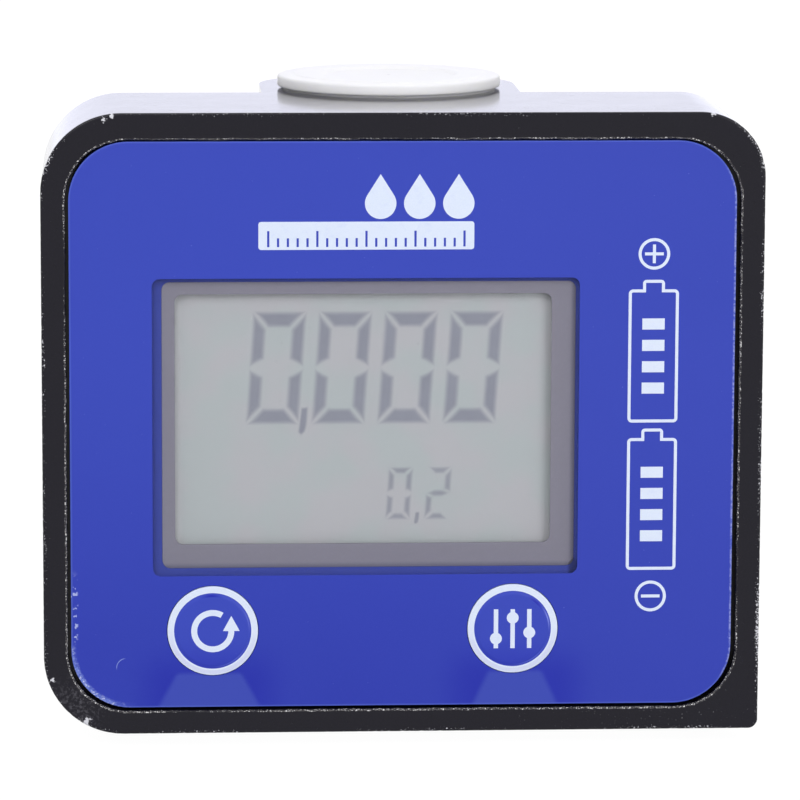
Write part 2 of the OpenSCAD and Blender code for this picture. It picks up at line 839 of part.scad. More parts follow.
module front_label() {
  color("#3f4fb8") layer(label_sink, label_t) difference() {
    label_outline();
    window_outline(0);
    at_keys() circle(r = key_r + run_gap);
  }
}

// points of a drop that stands on its round end
function drop_points(w, h) =
  let (r = w / 2, open = acos(r / (h - r)), steps = $fn / 2)
  concat([[0, h]], [
    for (k = [0 : steps])
      let (a = 90 - open - k * (360 - 2 * open) / steps)
      [r * cos(a), r + r * sin(a)]
  ]);

module scale_bar() {
  difference() {
    soft_rect(bar_w, bar_h, bar_r);
    for (k = [1 : tick_n])
      translate([-bar_w / 2 + k * bar_w / (tick_n + 1) - tick_w / 2, -bar_h / 2 + bar_r])
        square([tick_w, k % tick_every == 1 ? tick_long : tick_short]);
  }
}

// outline of a battery with its terminal, drawn smaller by inset
module battery_outline(inset) {
  soft_rect(battery_w - 2 * inset, battery_h - 2 * inset, battery_r - inset);
  translate([0, battery_h / 2 + terminal_h / 2 - battery_r])
    soft_rect(terminal_w - 2 * inset, terminal_h + 2 * battery_r - 2 * inset, terminal_r - inset);
}

module battery_sign() {
  difference() {
    battery_outline(0);
    battery_outline(line_w);
  }
  for (k = [0 : level_n - 1])
    translate([0, (k - (level_n - 1) / 2) * level_pitch])
      square([level_w, level_h], center = true);
}

module label_print() {
  color("#e4ebfa") layer(label_sink - print_t, print_t) {
    for (k = [0 : drop_n - 1])
      translate([drop_x + k * drop_pitch, drop_z]) polygon(drop_points(drop_w, drop_h));
    translate([bar_x, bar_z]) scale_bar();
    translate([well_x, upper_battery_z]) battery_sign();
    translate([well_x, lower_battery_z]) battery_sign();
    translate([well_x, plus_z]) {
      ring(sign_r, line_w);
      square([sign_w, line_w], center = true);
      square([line_w, sign_w], center = true);
    }
    translate([well_x, minus_z]) {
      ring(sign_r, line_w);
      square([sign_w, line_w], center = true);
    }
  }
}

module window_pane() {
  color("#dfe6ea", 0.3) layer(cover_d, pane_t) window_outline(pane_lap);
}

// Display.

module display_bezel() {
  color("#82808e") {
    difference() {
      layer(bezel_d, board_d - bezel_d) display_outline(0);
      layer(bezel_d - cut, bezel_t + 2 * cut)
        corner_rect(view_left, view_lo, view_w, view_h, window_r, 0);
      layer(glass_d, board_d - glass_d + cut) display_outline(-bezel_wall);
    }
  }
}

// the inside of the bezel less a gap, and less a strip along the bottom
module inside_bezel(gap, skip) {
  side = bezel_wall + gap;
  span_rect(display_left + side, display_right - side, display_lo + side + skip, display_hi - side);
}

module front_glass() {
  color("#cfd6d4", 0.4) layer(glass_d, glass_t) inside_bezel(glass_gap, 0);
}

function leaned(points) = [for (p = points) [p[0] + p[1] * tan(lean), p[1]]];

// one digit from its strokes, listed from the top clockwise with the middle one last
module digit(w, h, v, b, lit) {
  g = stroke_gap;
  m = h / 2;
  strokes = [
    [[g, h], [w - g, h], [w - v - g, h - b], [v + g, h - b]],
    [[w, h - g], [w - v, h - b - g], [w - v, m + b / 2], [w, m + g]],
    [[w, g], [w - v, b + g], [w - v, m - b / 2], [w, m - g]],
    [[g, 0], [w - g, 0], [w - v - g, b], [v + g, b]],
    [[0, g], [v, b + g], [v, m - b / 2], [0, m - g]],
    [[0, h - g], [v, h - b - g], [v, m + b / 2], [0, m + g]],
    [
      [g, m], [v + g, m + b / 2], [w - v - g, m + b / 2], [w - g, m],
      [w - v - g, m - b / 2], [v + g, m - b / 2]
    ]
  ];
  for (k = [0 : len(lit) - 1])
    if (lit[k]) polygon(leaned(strokes[k]));
}

module comma(w, h) {
  polygon(leaned([[0, h * root_share], [w, h], [w, h * root_share * 2], [w / 2, 0]]));
}

module at_view(shares, step_share) {
  translate([view_left + (shares[0] + step_share) * view_w, view_lo + shares[1] * view_h])
    children();
}

module large_digit(k, lit) {
  at_view(digit_shares, k * digit_pitch_share)
    digit(digit_w_share * view_w, digit_h_share * view_h, digit_stroke_share * view_w,
      digit_bar_share * view_h, lit);
}

module small_digit(k, lit) {
  stroke = small_stroke_share * view_w;
  at_view(small_shares, k * small_pitch_share)
    digit(small_w_share * view_w, small_h_share * view_h, stroke, stroke, lit);
}

module display_digits() {
  color("#7d8092") layer(segment_d, segment_t) {
    for (k = [0 : 3]) large_digit(k, zero);
    small_digit(0, zero);
    small_digit(1, two);
    for (s = [comma_shares, small_comma_shares])
      at_view(s, 0) comma(s[2] * view_w, s[3] * view_h);
  }
}

module rear_glass() {
  color("#c3cac8", 0.5) layer(rear_glass_d, rear_glass_t)
    inside_bezel(glass_gap, contact_strip_h);
}

module display_reflector() {
  color("#b0b6b8") layer(reflector_d, reflector_t) inside_bezel(glass_gap, contact_strip_h);
}

module display_cushion() {
  color("#3a3a3e") layer(cushion_d, board_d - cushion_d)
    inside_bezel(cushion_gap, contact_strip_h);
}

module connector_strip() {
  side = bezel_wall + cushion_gap;
  low = display_lo + bezel_wall + glass_gap + (contact_strip_h - connector_t) / 2;
  color("#3c3c40") layer(rear_glass_d, board_d - rear_glass_d)
    span_rect(display_left + side, display_right - side, low, low + connector_t);
}

// Circuit board.

module circuit_board() {
  color("#2d6a3e") difference() {
    layer(board_d, board_t) difference() {
      span_rect(board_left, board_right, board_lo, board_hi);
      span_rect(
        board_left - cut, screw_left + boss_r + post_gap,
        board_lo - cut, pocket_lo + screw_in_left_end + boss_r + post_gap
      );
      span_rect(
        screw_right - boss_r - post_gap, board_right + cut,
        board_lo - cut, pocket_lo + screw_in_right_end + boss_r + post_gap
      );
    }
    layer(board_d - cut, board_t + 2 * cut)
      for (p = board_screw_at) translate(p) circle(r = board_screw_r + screw_gap);
  }
}

// puts a flat shape at a place on the board that is given in shares
module at_board(shares) {
  translate([
    (board_left + board_right) / 2 + shares[0] * board_w,
    (board_lo + board_hi) / 2 + shares[1] * board_h
  ])
    children();
}

module driver_chip() {
  color("#1b1b1d") layer(board_back_d, chip_t)
    at_board(chip_shares) square(chip_w, center = true);
}

module board_parts() {
  color("#8c7a5a")
    for (k = [0 : len(board_part_size) - 1]) {
      size = board_part_size[k];
      layer(board_back_d, size[2])
        at_board(board_part_shares[k]) square([size[0], size[1]], center = true);
    }
}

module clock_crystal() {
  color("#c8c8cc") layer(board_back_d, crystal_l) at_board(crystal_shares) circle(r = crystal_r);
}

module pickup_sensor() {
  back = pocket_d - sensor_gap;
  at = [-body_shift, rotor_mid - mid_z];
  color("#202024") {
    layer(back - sensor_t, sensor_t) translate(at) square([sensor_w, sensor_h], center = true);
    layer(board_back_d, back - sensor_t - board_back_d)
      for (k = [-1, 0, 1])
        translate([at[0] + k * sensor_w / 3, at[1]]) square(leg_w, center = true);
  }
}

module ground_strip() {
  color("#c9b26a") {
    layer(board_back_d, contact_t)
      at_board(ground_shares) square([ground_foot + contact_t, strip_w]);
    layer(board_back_d, pocket_d - board_back_d)
      at_board(ground_shares) square([contact_t, strip_w]);
    layer(pocket_d - contact_t, contact_t)
      at_board(ground_shares)
        translate([-ground_foot, 0]) square([ground_foot + contact_t, strip_w]);
  }
}

// Keys and switches.

module key(x) {
  color("#3a48b4") {
    layer(key_d, key_t) translate([x, key_z]) circle(r = key_r);
    layer(key_back_d, gasket_d - key_back_d) translate([x, key_z]) circle(r = key_stem_r);
    layer(gasket_d, plunger_d - gasket_d) translate([x, key_z]) circle(r = key_neck_r);
  }
}

module clip(x) {
  color("#b9bcc2") layer(gasket_d, clip_t) translate([x, key_z]) difference() {
    circle(r = clip_r);
    circle(r = key_neck_r + fix_gap);
  }
}

module switch_housing(x) {
  color("#18181a") difference() {
    layer(board_d - switch_t, switch_t) translate([x, key_z]) square(switch_w, center = true);
    layer(board_d - switch_t - cut, plunger_in + key_travel + run_gap + cut)
      translate([x, key_z]) circle(r = plunger_r + run_gap);
  }
}

module plunger(x) {
  color("#d8d2c4") layer(plunger_d, plunger_l + plunger_in)
    translate([x, key_z]) circle(r = plunger_r);
}

module key_ring() {
  ring(key_r, key_ring_w);
}

module reset_key() {
  key(reset_x);
}

module reset_mark() {
  color("#e4ebfa") layer(key_d - print_t, print_t) translate([reset_x, key_z]) {
    key_ring();
    difference() {
      ring(arc_r, arc_w);
      polygon([
        [0, 0], [2 * arc_r * cos(arc_open), 2 * arc_r * sin(arc_open)],
        [2 * arc_r, 2 * arc_r], [2 * arc_r, 0]
      ]);
    }
    translate([arc_r - arc_w / 2, -head_l / 2])
      polygon([[-head_w / 2, head_l / 2], [head_w / 2, head_l / 2], [0, head_l + head_l / 2]]);
  }
}

module reset_clip() {
  clip(reset_x);
}

module cal_key() {
  key(cal_x);
}

module cal_mark() {
  color("#e4ebfa") layer(key_d - print_t, print_t) translate([cal_x, key_z]) {
    key_ring();
    for (k = [0 : len(knob_share) - 1]) translate([(k - 1) * slider_pitch, 0]) {
      square([slider_w, slider_h], center = true);
      translate([0, knob_share[k] * slider_h]) circle(r = knob_r);
    }
  }
}

module cal_clip() {
  clip(cal_x);
}

module reset_switch() {
  switch_housing(reset_x);
}

module reset_plunger() {
  plunger(reset_x);
}

module cal_switch() {
  switch_housing(cal_x);
}

module cal_plunger() {
  plunger(cal_x);
}

// Screws.

module cover_screws() {
  color("#b9bcc2") difference() {
    union() {
      layer(body_d - screw_l, screw_l)
        for (p = cover_screw_at) translate(p) circle(r = screw_r);
      layer(body_d, screw_head_t)
        for (p = cover_screw_at) translate(p) circle(r = screw_head_r);
    }
    layer(body_d + screw_head_t - driver_t, driver_t + cut)
      for (p = cover_screw_at) translate(p) {
        square([2 * screw_head_r * crest_share, driver_w], center = true);
        square([driver_w, 2 * screw_head_r * crest_share], center = true);
      }
  }
}

module screw_inserts() {
  color("#b08d3c") layer(boss_d - insert_l, insert_l)
    for (p = cover_screw_at) translate(p) difference() {
      circle(r = insert_r);
      circle(r = screw_r + fix_gap);
    }
}

module board_screws() {
  color("#b9bcc2") {
    layer(board_back_d - board_screw_l, board_screw_l)
      for (p = board_screw_at) translate(p) circle(r = board_screw_r);
    layer(board_back_d, board_head_t)
      for (p = board_screw_at) translate(p) circle(r = board_head_r);
  }
}

// Batteries and cap.

module cell(top) {
  at_well(top - cell_l) cylinder(r = cell_r, h = cell_l - nub_h);
  at_well(top - nub_h - run_gap) cylinder(r = nub_r, h = nub_h + run_gap);
}

module upper_cell() {
  color("#c9a23a") cell(upper_hi);
}

module lower_cell() {
  color("#c9a23a") cell(lower_hi);
}

module battery_contact() {
  color("#c9b26a") {
    at_well(upper_hi) cylinder(r = cell_r - cell_gap, h = contact_t);
    layer(lead_d, strip_w)
      span_rect(lead_x - contact_t / 2, well_x, upper_hi - mid_z, contact_hi - mid_z);
    layer(lead_d, strip_w)
      span_rect(lead_x - contact_t / 2, lead_x + contact_t / 2, lead_foot_z, contact_hi - mid_z);
    layer(board_back_d, lead_d + strip_w - board_back_d)
      span_rect(lead_x - contact_t / 2, lead_x + contact_t / 2, lead_foot_z - contact_t,
        lead_foot_z + contact_t);
  }
}

module contact_insulator() {
  color("#e8e4da") at_well(contact_hi) cylinder(r = well_r - 2 * run_gap, h = insulator_t);
}

module battery_spring() {
  low = cup_lo + contact_t;
  color("#b9bcc2") at_well(low) difference() {
    cylinder(r = spring_r, h = lower_lo - low);
    translate([0, 0, -cut]) cylinder(r = spring_r - spring_t, h = lower_lo - low + 2 * cut);
  }
}

module cap_contact() {
  color("#c9b26a") at_well(cup_lo) cylinder(r = cup_r - run_gap, h = contact_t);
}

module battery_cap() {
  head_lo = seat_z - seal_t - cap_t;
  color("#2a2a2e") difference() {
    union() {
      at_well(head_lo) cylinder(r = cap_r, h = cap_t);
      at_well(head_lo + cap_t - fix_gap)
        cylinder(r = shank_r, h = shank_hi - head_lo - cap_t + fix_gap);
    }
    at_well(seat_z + well_pitch / 2)
      thread_cuts(shank_r, shank_thread_t, well_pitch, shank_l - well_pitch, -1, crest_share);
    at_well(cup_lo) cylinder(r = cup_r, h = cup_l + cut);
    at_well(head_lo - cut)
      translate([-cap_r - cut, -coin_w / 2, 0]) cube([2 * (cap_r + cut), coin_w, coin_t + cut]);
  }
}

module cap_seal() {
  inner = shank_r + fix_gap;
  color("#a8341f") at_well(seat_z - seal_t) difference() {
    cylinder(r = inner + seal_w, h = seal_t);
    translate([0, 0, -cut]) cylinder(r = inner, h = seal_t + 2 * cut);
  }
}

// Turbine.

module support(low, nose_down) {
  rim_r = bore_r - run_gap;
  color("#e6e2d8") difference() {
    union() {
      translate([0, 0, low]) difference() {
        cylinder(r = rim_r, h = support_h);
        translate([0, 0, -cut]) cylinder(r = rim_r - rim_t, h = support_h + 2 * cut);
      }
      translate([0, 0, low]) cylinder(r = hub_r, h = support_h);
      for (k = [0 : vane_n - 1])
        rotate(k * 360 / vane_n)
          translate([0, -vane_t / 2, low]) cube([rim_r - rim_t / 2, vane_t, support_h]);
      if (nose_down)
        translate([0, 0, low - nose_h]) cylinder(r1 = nose_r, r2 = hub_r, h = nose_h);
      if (!nose_down)
        translate([0, 0, low + support_h]) cylinder(r1 = hub_r, r2 = nose_r, h = nose_h);
    }
    translate([0, 0, nose_down ? low + support_h - shaft_in : low - cut])
      cylinder(r = shaft_r + fix_gap, h = shaft_in + cut);
  }
}

module inlet_support() {
  support(support_lo, true);
}

module outlet_support() {
  support(support_hi, false);
}

module turbine_rotor() {
  color("#d9d4c6") translate([0, 0, rotor_lo]) difference() {
    union() {
      cylinder(r = hub_r, h = rotor_h);
      intersection() {
        cylinder(r = tip_r, h = rotor_h);
        for (k = [0 : blade_n - 1])
          rotate(k * 360 / blade_n)
            translate([bush_r, 0, rotor_h / 2])
              rotate([blade_tilt, 0, 0])
                translate([0, -blade_t / 2, -rotor_h]) cube([bore_r, blade_t, 2 * rotor_h]);
      }
    }
    translate([0, 0, -cut]) cylinder(r = bush_r + fix_gap, h = rotor_h + 2 * cut);
    for (k = [0, 1])
      rotate(k * 180)
        translate([magnet_ring_r, 0, rotor_h - magnet_l])
          cylinder(r = magnet_r + fix_gap, h = magnet_l + cut);
  }
}

module rotor_magnets() {
  color("#9a9aa0")
    for (k = [0, 1])
      rotate(k * 180)
        translate([magnet_ring_r, 0, rotor_lo + rotor_h - magnet_l])
          cylinder(r = magnet_r, h = magnet_l);
}

module bush(low) {
  translate([0, 0, low]) difference() {
    cylinder(r = bush_r, h = bush_l);
    translate([0, 0, -cut]) cylinder(r = shaft_r + run_gap, h = bush_l + 2 * cut);
  }
}

module rotor_bushes() {
  color("#4a4a50") {
    bush(rotor_lo - hub_gap + bush_play);
    bush(rotor_lo + rotor_h + hub_gap - bush_play - bush_l);
  }
}

module turbine_shaft() {
  low = support_lo + support_h - shaft_in;
  color("#b9bcc2") translate([0, 0, low])
    cylinder(r = shaft_r, h = rotor_h + 2 * hub_gap + 2 * shaft_in);
}

module retaining_ring() {
  outer = bore_r + groove_t - 2 * ring_play;
  color("#8f9298") translate([0, 0, ring_lo]) difference() {
    cylinder(r = outer, h = ring_t);
    translate([0, 0, -cut]) cylinder(r = outer - ring_w, h = ring_t + 2 * cut);
    translate([0, -ring_gap_w / 2, -cut]) cube([outer + cut, ring_gap_w, ring_t + 2 * cut]);
  }
}

// Port plugs.

module plug() {
  color("#f1eef2", 0.8) difference() {
    union() {
      translate([0, 0, plug_stand]) cylinder(r = plug_r, h = plug_t);
      translate([0, 0, -plug_skirt_l])
        cylinder(r = step_r - run_gap, h = plug_skirt_l + plug_stand + fix_gap);
    }
    translate([0, 0, -plug_skirt_l - cut])
      cylinder(r = step_r - run_gap - plug_wall, h = plug_skirt_l + plug_stand + cut);
    translate([0, 0, plug_stand + plug_t - dish_t]) cylinder(r = dish_r, h = dish_t + cut);
  }
}

module inlet_plug() {
  translate([0, 0, end_lo]) rotate([180, 0, 0]) plug();
}

module outlet_plug() {
  translate([0, 0, end_hi]) plug();
}

housing();
flow_tube();
cover_plate();
cover_gasket();
front_label();
label_print();
window_pane();
display_bezel();
front_glass();
display_digits();
rear_glass();
display_reflector();
display_cushion();
connector_strip();
circuit_board();
driver_chip();
board_parts();
clock_crystal();
pickup_sensor();
ground_strip();
reset_key();
reset_mark();
reset_clip();
cal_key();
cal_mark();
cal_clip();
reset_switch();
reset_plunger();
cal_switch();
cal_plunger();
cover_screws();
screw_inserts();
board_screws();
upper_cell();
lower_cell();
battery_contact();
contact_insulator();
battery_spring();
cap_contact();
battery_cap();
cap_seal();
inlet_support();
outlet_support();
turbine_rotor();
rotor_magnets();
rotor_bushes();
turbine_shaft();
retaining_ring();
inlet_plug();
outlet_plug();
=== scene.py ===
"""Looks for a digital turbine flow meter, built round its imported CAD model. Lengths below are in
millimetres in the CAD frame: X across the face, Y from the face to the back, Z along the flow."""

import json
import math

import bmesh
import bpy
from mathutils import Matrix, Vector, noise


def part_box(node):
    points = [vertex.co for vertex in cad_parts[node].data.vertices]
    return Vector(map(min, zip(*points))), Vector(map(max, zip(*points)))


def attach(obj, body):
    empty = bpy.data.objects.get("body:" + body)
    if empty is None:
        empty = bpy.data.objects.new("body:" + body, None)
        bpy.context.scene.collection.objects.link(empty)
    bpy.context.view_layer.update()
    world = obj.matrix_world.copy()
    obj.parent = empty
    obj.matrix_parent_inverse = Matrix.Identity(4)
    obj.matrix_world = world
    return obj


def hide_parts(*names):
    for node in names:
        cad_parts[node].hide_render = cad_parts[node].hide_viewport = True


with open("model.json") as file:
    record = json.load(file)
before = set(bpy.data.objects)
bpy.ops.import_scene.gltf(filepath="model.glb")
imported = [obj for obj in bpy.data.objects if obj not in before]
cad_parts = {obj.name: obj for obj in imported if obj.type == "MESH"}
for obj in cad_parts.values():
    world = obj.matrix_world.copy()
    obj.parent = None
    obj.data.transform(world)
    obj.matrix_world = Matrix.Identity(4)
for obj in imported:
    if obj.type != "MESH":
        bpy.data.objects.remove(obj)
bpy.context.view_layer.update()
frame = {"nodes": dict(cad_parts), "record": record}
NODES = frame["nodes"]
MM = 0.001

# The cast body: its middle and size in X and Z, its depths and its corners' radii
MID_X, MID_Z = 0.3, 35.55
BODY_W, BODY_H = 90.0, 78.3
FRONT_Y = -31.2
LEDGE_DEPTH = 3.1
BACK_Y = -6.0
BODY_CORNERS = (10.0, 1.2, 8.2, 10.0)  # bottom left, bottom right, top right, top left
OPEN_W, OPEN_H, OPEN_R = 84.0, 72.0, 7.6
OPEN_Z = MID_Z - 0.2
LABEL = (MID_X - 0.05, OPEN_Z + 0.1, 83.0, 71.4, 7.4)
FLOOR_Z = -5.55

# The flow tube behind it: its ends, and the top of the arrow raised on its back
TUBE_LOW, TUBE_HIGH = -3.6, 74.7
ARROW_Y = 16.8
ARROW_EDGE = 0.25

# The seen part of the display, and the keys
VIEW_X, VIEW_Z, VIEW_W, VIEW_H = -28.17, 20.29, 47.03, 31.63
KEY_Z = 9.52
RESET_X, CAL_X = -23.55, 14.14
KEY_R = 5.67
KEY_DEPTH = 0.15
# The white ring printed on a key, the thickness of ink and how far it stands off what it is printed on
RING_IN, RING_OUT = 4.84, 5.6
INK_T = 0.02
INK_GAP, UPPER_INK_GAP = 0.012, 0.022
# A hair on the label: the middle of its bend and the bend's radius
HAIR = (-34.4, 4.85, 1.2)
# Bare spots on the frame: X, Z and radius
CHIPS = (
    (-39.4, -2.0, 1.5), (-43.7, 3.4, 1.0), (44.2, 72.1, 0.8), (43.3, 72.9, 0.8), (38.6, 74.5, 0.9), (-35.8, 74.3, 0.9),
    (-36.8, 74.0, 0.8),
)


# Materials


class Graph:
    """A material's nodes, made by short calls. Sizes of patterns are given in millimetres."""

    def __init__(self, name):
        self.mat = bpy.data.materials.new(name)
        self.mat.use_nodes = True
        self.tree = self.mat.node_tree
        self.shader = self.tree.nodes["Principled BSDF"]
        self.place = self.add("ShaderNodeTexCoord").outputs["Object"]

    def add(self, kind, **values):
        node = self.tree.nodes.new(kind)
        for key, value in values.items():
            setattr(node, key, value)
        return node

    def put(self, socket, value):
        if isinstance(value, bpy.types.NodeSocket):
            self.tree.links.new(value, socket)
        else:
            socket.default_value = value

    def call(self, kind, how, values, out=0):
        node = self.add(kind, operation=how)
        for socket, value in zip(node.inputs, values):
            self.put(socket, value)
        return node.outputs[out]

    def math(self, how, *values):
        return self.call("ShaderNodeMath", how, values)

    def vector(self, how, *values, out=0):
        return self.call("ShaderNodeVectorMath", how, values, out)

    def noise(self, size, detail=3.0, rough=0.5):
        node = self.add("ShaderNodeTexNoise")
        self.put(node.inputs["Vector"], self.place)
        self.put(node.inputs["Scale"], 1 / (size * MM))
        self.put(node.inputs["Detail"], detail)
        self.put(node.inputs["Roughness"], rough)
        return node.outputs[0]

    def axis(self, letter):
        """A place's X, Y or Z in millimetres."""
        split = self.add("ShaderNodeSeparateXYZ")
        self.put(split.inputs[0], self.place)
        return self.math("MULTIPLY", split.outputs[letter], 1 / MM)

    def band(self, value, middle, half):
        """1 where a value is within half of the middle, falling off beyond."""
        return self.step(self.math("ABSOLUTE", self.math("SUBTRACT", value, middle)), half, half * 0.6)

    def specks(self, size, often, seldom=0.78, where=None):
        """Small dots of noise, as frequent as often says where the mask is 1."""
        low = self.level(where, seldom, often) if where else often
        return self.step(self.noise(size, 2, 0.5), low, self.math("ADD", low, 0.03))

    def step(self, value, low, high):
        """0 at low and 1 at high, eased between them. Low may be the larger."""
        node = self.add("ShaderNodeMapRange", interpolation_type="SMOOTHSTEP")
        for key, v in (("Value", value), ("From Min", low), ("From Max", high)):
            self.put(node.inputs[key], v)
        return node.outputs[0]

    def away(self, x, z):
        """Distance on the face from a place, in millimetres."""
        gap = self.vector("SUBTRACT", self.place, (x * MM, 0, z * MM))
        flat = self.vector("MULTIPLY", gap, (1 / MM, 0, 1 / MM))
        return self.vector("LENGTH", flat, out=1)

    def near(self, x, z, radius):
        """1 at a place on the face, falling to 0 at radius round it."""
        return self.step(self.away(x, z), radius, 0.0)

    def all_of(self, *masks):
        """The product of some masks."""
        out = masks[0]
        for mask in masks[1:]:
            out = self.math("MULTIPLY", out, mask)
        return out

    def blend(self, share, a, b):
        node = self.add("ShaderNodeMix", data_type="RGBA")
        for k, value in ((0, share), (6, a), (7, b)):
            self.put(node.inputs[k], (*value, 1) if isinstance(value, tuple) else value)
        return node.outputs[2]

    def level(self, share, a, b):
        node = self.add("ShaderNodeMix", data_type="FLOAT")
        for k, value in ((0, share), (2, a), (3, b)):
            self.put(node.inputs[k], value)
        return node.outputs[0]

    def relief(self, height, depth, under=None):
        """A bump of a depth in millimetres, over another one if it is given."""
        node = self.add("ShaderNodeBump")
        self.put(node.inputs["Height"], height)
        self.put(node.inputs["Distance"], depth * MM)
        self.put(node.inputs["Strength"], 1.0)
        if under:
            self.put(node.inputs["Normal"], under)
        return node.outputs[0]

    def mix(self, share, a, b):
        """Lays shader b over shader a by a share, as the material's surface."""
        node = self.add("ShaderNodeMixShader")
        for socket, value in zip(node.inputs, (share, a.outputs[0], b.outputs[0])):
            self.put(socket, value)
        self.put(self.tree.nodes["Material Output"].inputs["Surface"], node.outputs[0])

    def finish(self, **values):
        """Fills the shader's sockets, named in small letters, and gives the material."""
        for key, value in values.items():
            name = {"color": "Base Color", "ior": "IOR", "coat_ior": "Coat IOR"}.get(
                key, key.replace("_", " ").title())
            if isinstance(value, tuple) and name.endswith("Color"):
                value = (*value, 1)
            self.put(self.shader.inputs[name], value)
        return self.mat


def shade(color, share):
    return tuple(min(1.0, c * share) for c in color)


def surface(name, color, rough, grain, spread=0.1, **more):
    """A material whose colour, roughness and relief vary a little, on two scales."""
    g = Graph(name)
    fine = g.noise(grain, 4)
    broad = g.noise(grain * 12, 2)
    both = g.level(0.45, fine, broad)
    low, high = shade(color, 1 - spread), shade(color, 1 + spread)
    return g.finish(
        color=g.blend(both, low, high),
        roughness=g.level(broad, rough - 0.08, rough + 0.08),
        normal=g.relief(fine, 0.01), **more)


def casting_material():
    """Satin black paint. The attributes wear and lip say where its edges are chipped and rubbed, and lip also says
    where glints of painted highlight lie.
    """
    g = Graph("satin_black_paint")
    fine = g.noise(0.22, 4, 0.6)
    broad = g.noise(5.0, 3)
    patch = g.noise(1.8, 3, 0.6)
    wear, lip = (g.add("ShaderNodeAttribute", attribute_name=n).outputs["Fac"] for n in ("wear", "lip"))
    near_chip = g.near(*CHIPS[0])
    for place in CHIPS[1:]:
        near_chip = g.math("MAXIMUM", near_chip, g.near(*place))
    # knocks and dust are on the front alone, and don't run back along the sides
    front = g.step(g.axis("Y"), FRONT_Y + 1.3, FRONT_Y + 0.5)
    chip = g.math("ADD", g.noise(0.24, 4, 0.65), g.math("MULTIPLY", wear, g.level(patch, 0.0, 0.5)))
    flake = g.math("ADD", g.noise(0.5, 5, 0.75), g.all_of(near_chip, front, 0.34))
    chips = g.math("MAXIMUM", g.step(chip, 0.73, 0.78), g.step(flake, 0.74, 0.78))
    line = g.math("MULTIPLY", g.step(lip, 0.35, 0.8), g.step(g.noise(0.15, 3, 0.8), 0.5, 0.62))
    # painted highlight: glints, bright specks along the rubbed lip
    glint = g.math("MULTIPLY", g.step(lip, 0.3, 0.7), g.specks(0.17, 0.6))
    dust = g.specks(0.26, 0.68, 0.79, g.math("MULTIPLY", front, g.near(30, -3, 34)))
    scuff = g.all_of(front, g.near(-40.4, 0.4, 5.2), g.step(g.noise(0.45, 5, 0.75), 0.48, 0.62))
    pits = g.specks(0.5, 0.7)
    paint = g.blend(fine, (0.0045, 0.004, 0.0085), (0.012, 0.0108, 0.0175))
    paint = g.blend(g.math("MULTIPLY", scuff, 0.4), paint, (0.17, 0.165, 0.19))
    paint = g.blend(g.math("MULTIPLY", dust, 0.6), paint, (0.3, 0.3, 0.32))
    paint = g.blend(g.math("MULTIPLY", line, 0.7), paint, (0.4, 0.38, 0.36))
    # the painted glints
    paint = g.blend(glint, paint, (0.85, 0.84, 0.82))
    rough = g.math("ADD", g.level(broad, 0.2, 0.3), g.math("MULTIPLY", pits, 0.4))
    ground = g.relief(g.math("SUBTRACT", 1.0, g.math("MAXIMUM", pits, chips)), 0.05)
    return g.finish(
        color=g.blend(chips, paint, (0.74, 0.74, 0.78)), roughness=g.level(chips, rough, 0.55),
        ior=1.2, coat_weight=1.0, coat_roughness=0.1, coat_ior=1.2,
        normal=g.relief(fine, 0.01, g.relief(broad, 0.05, ground)))


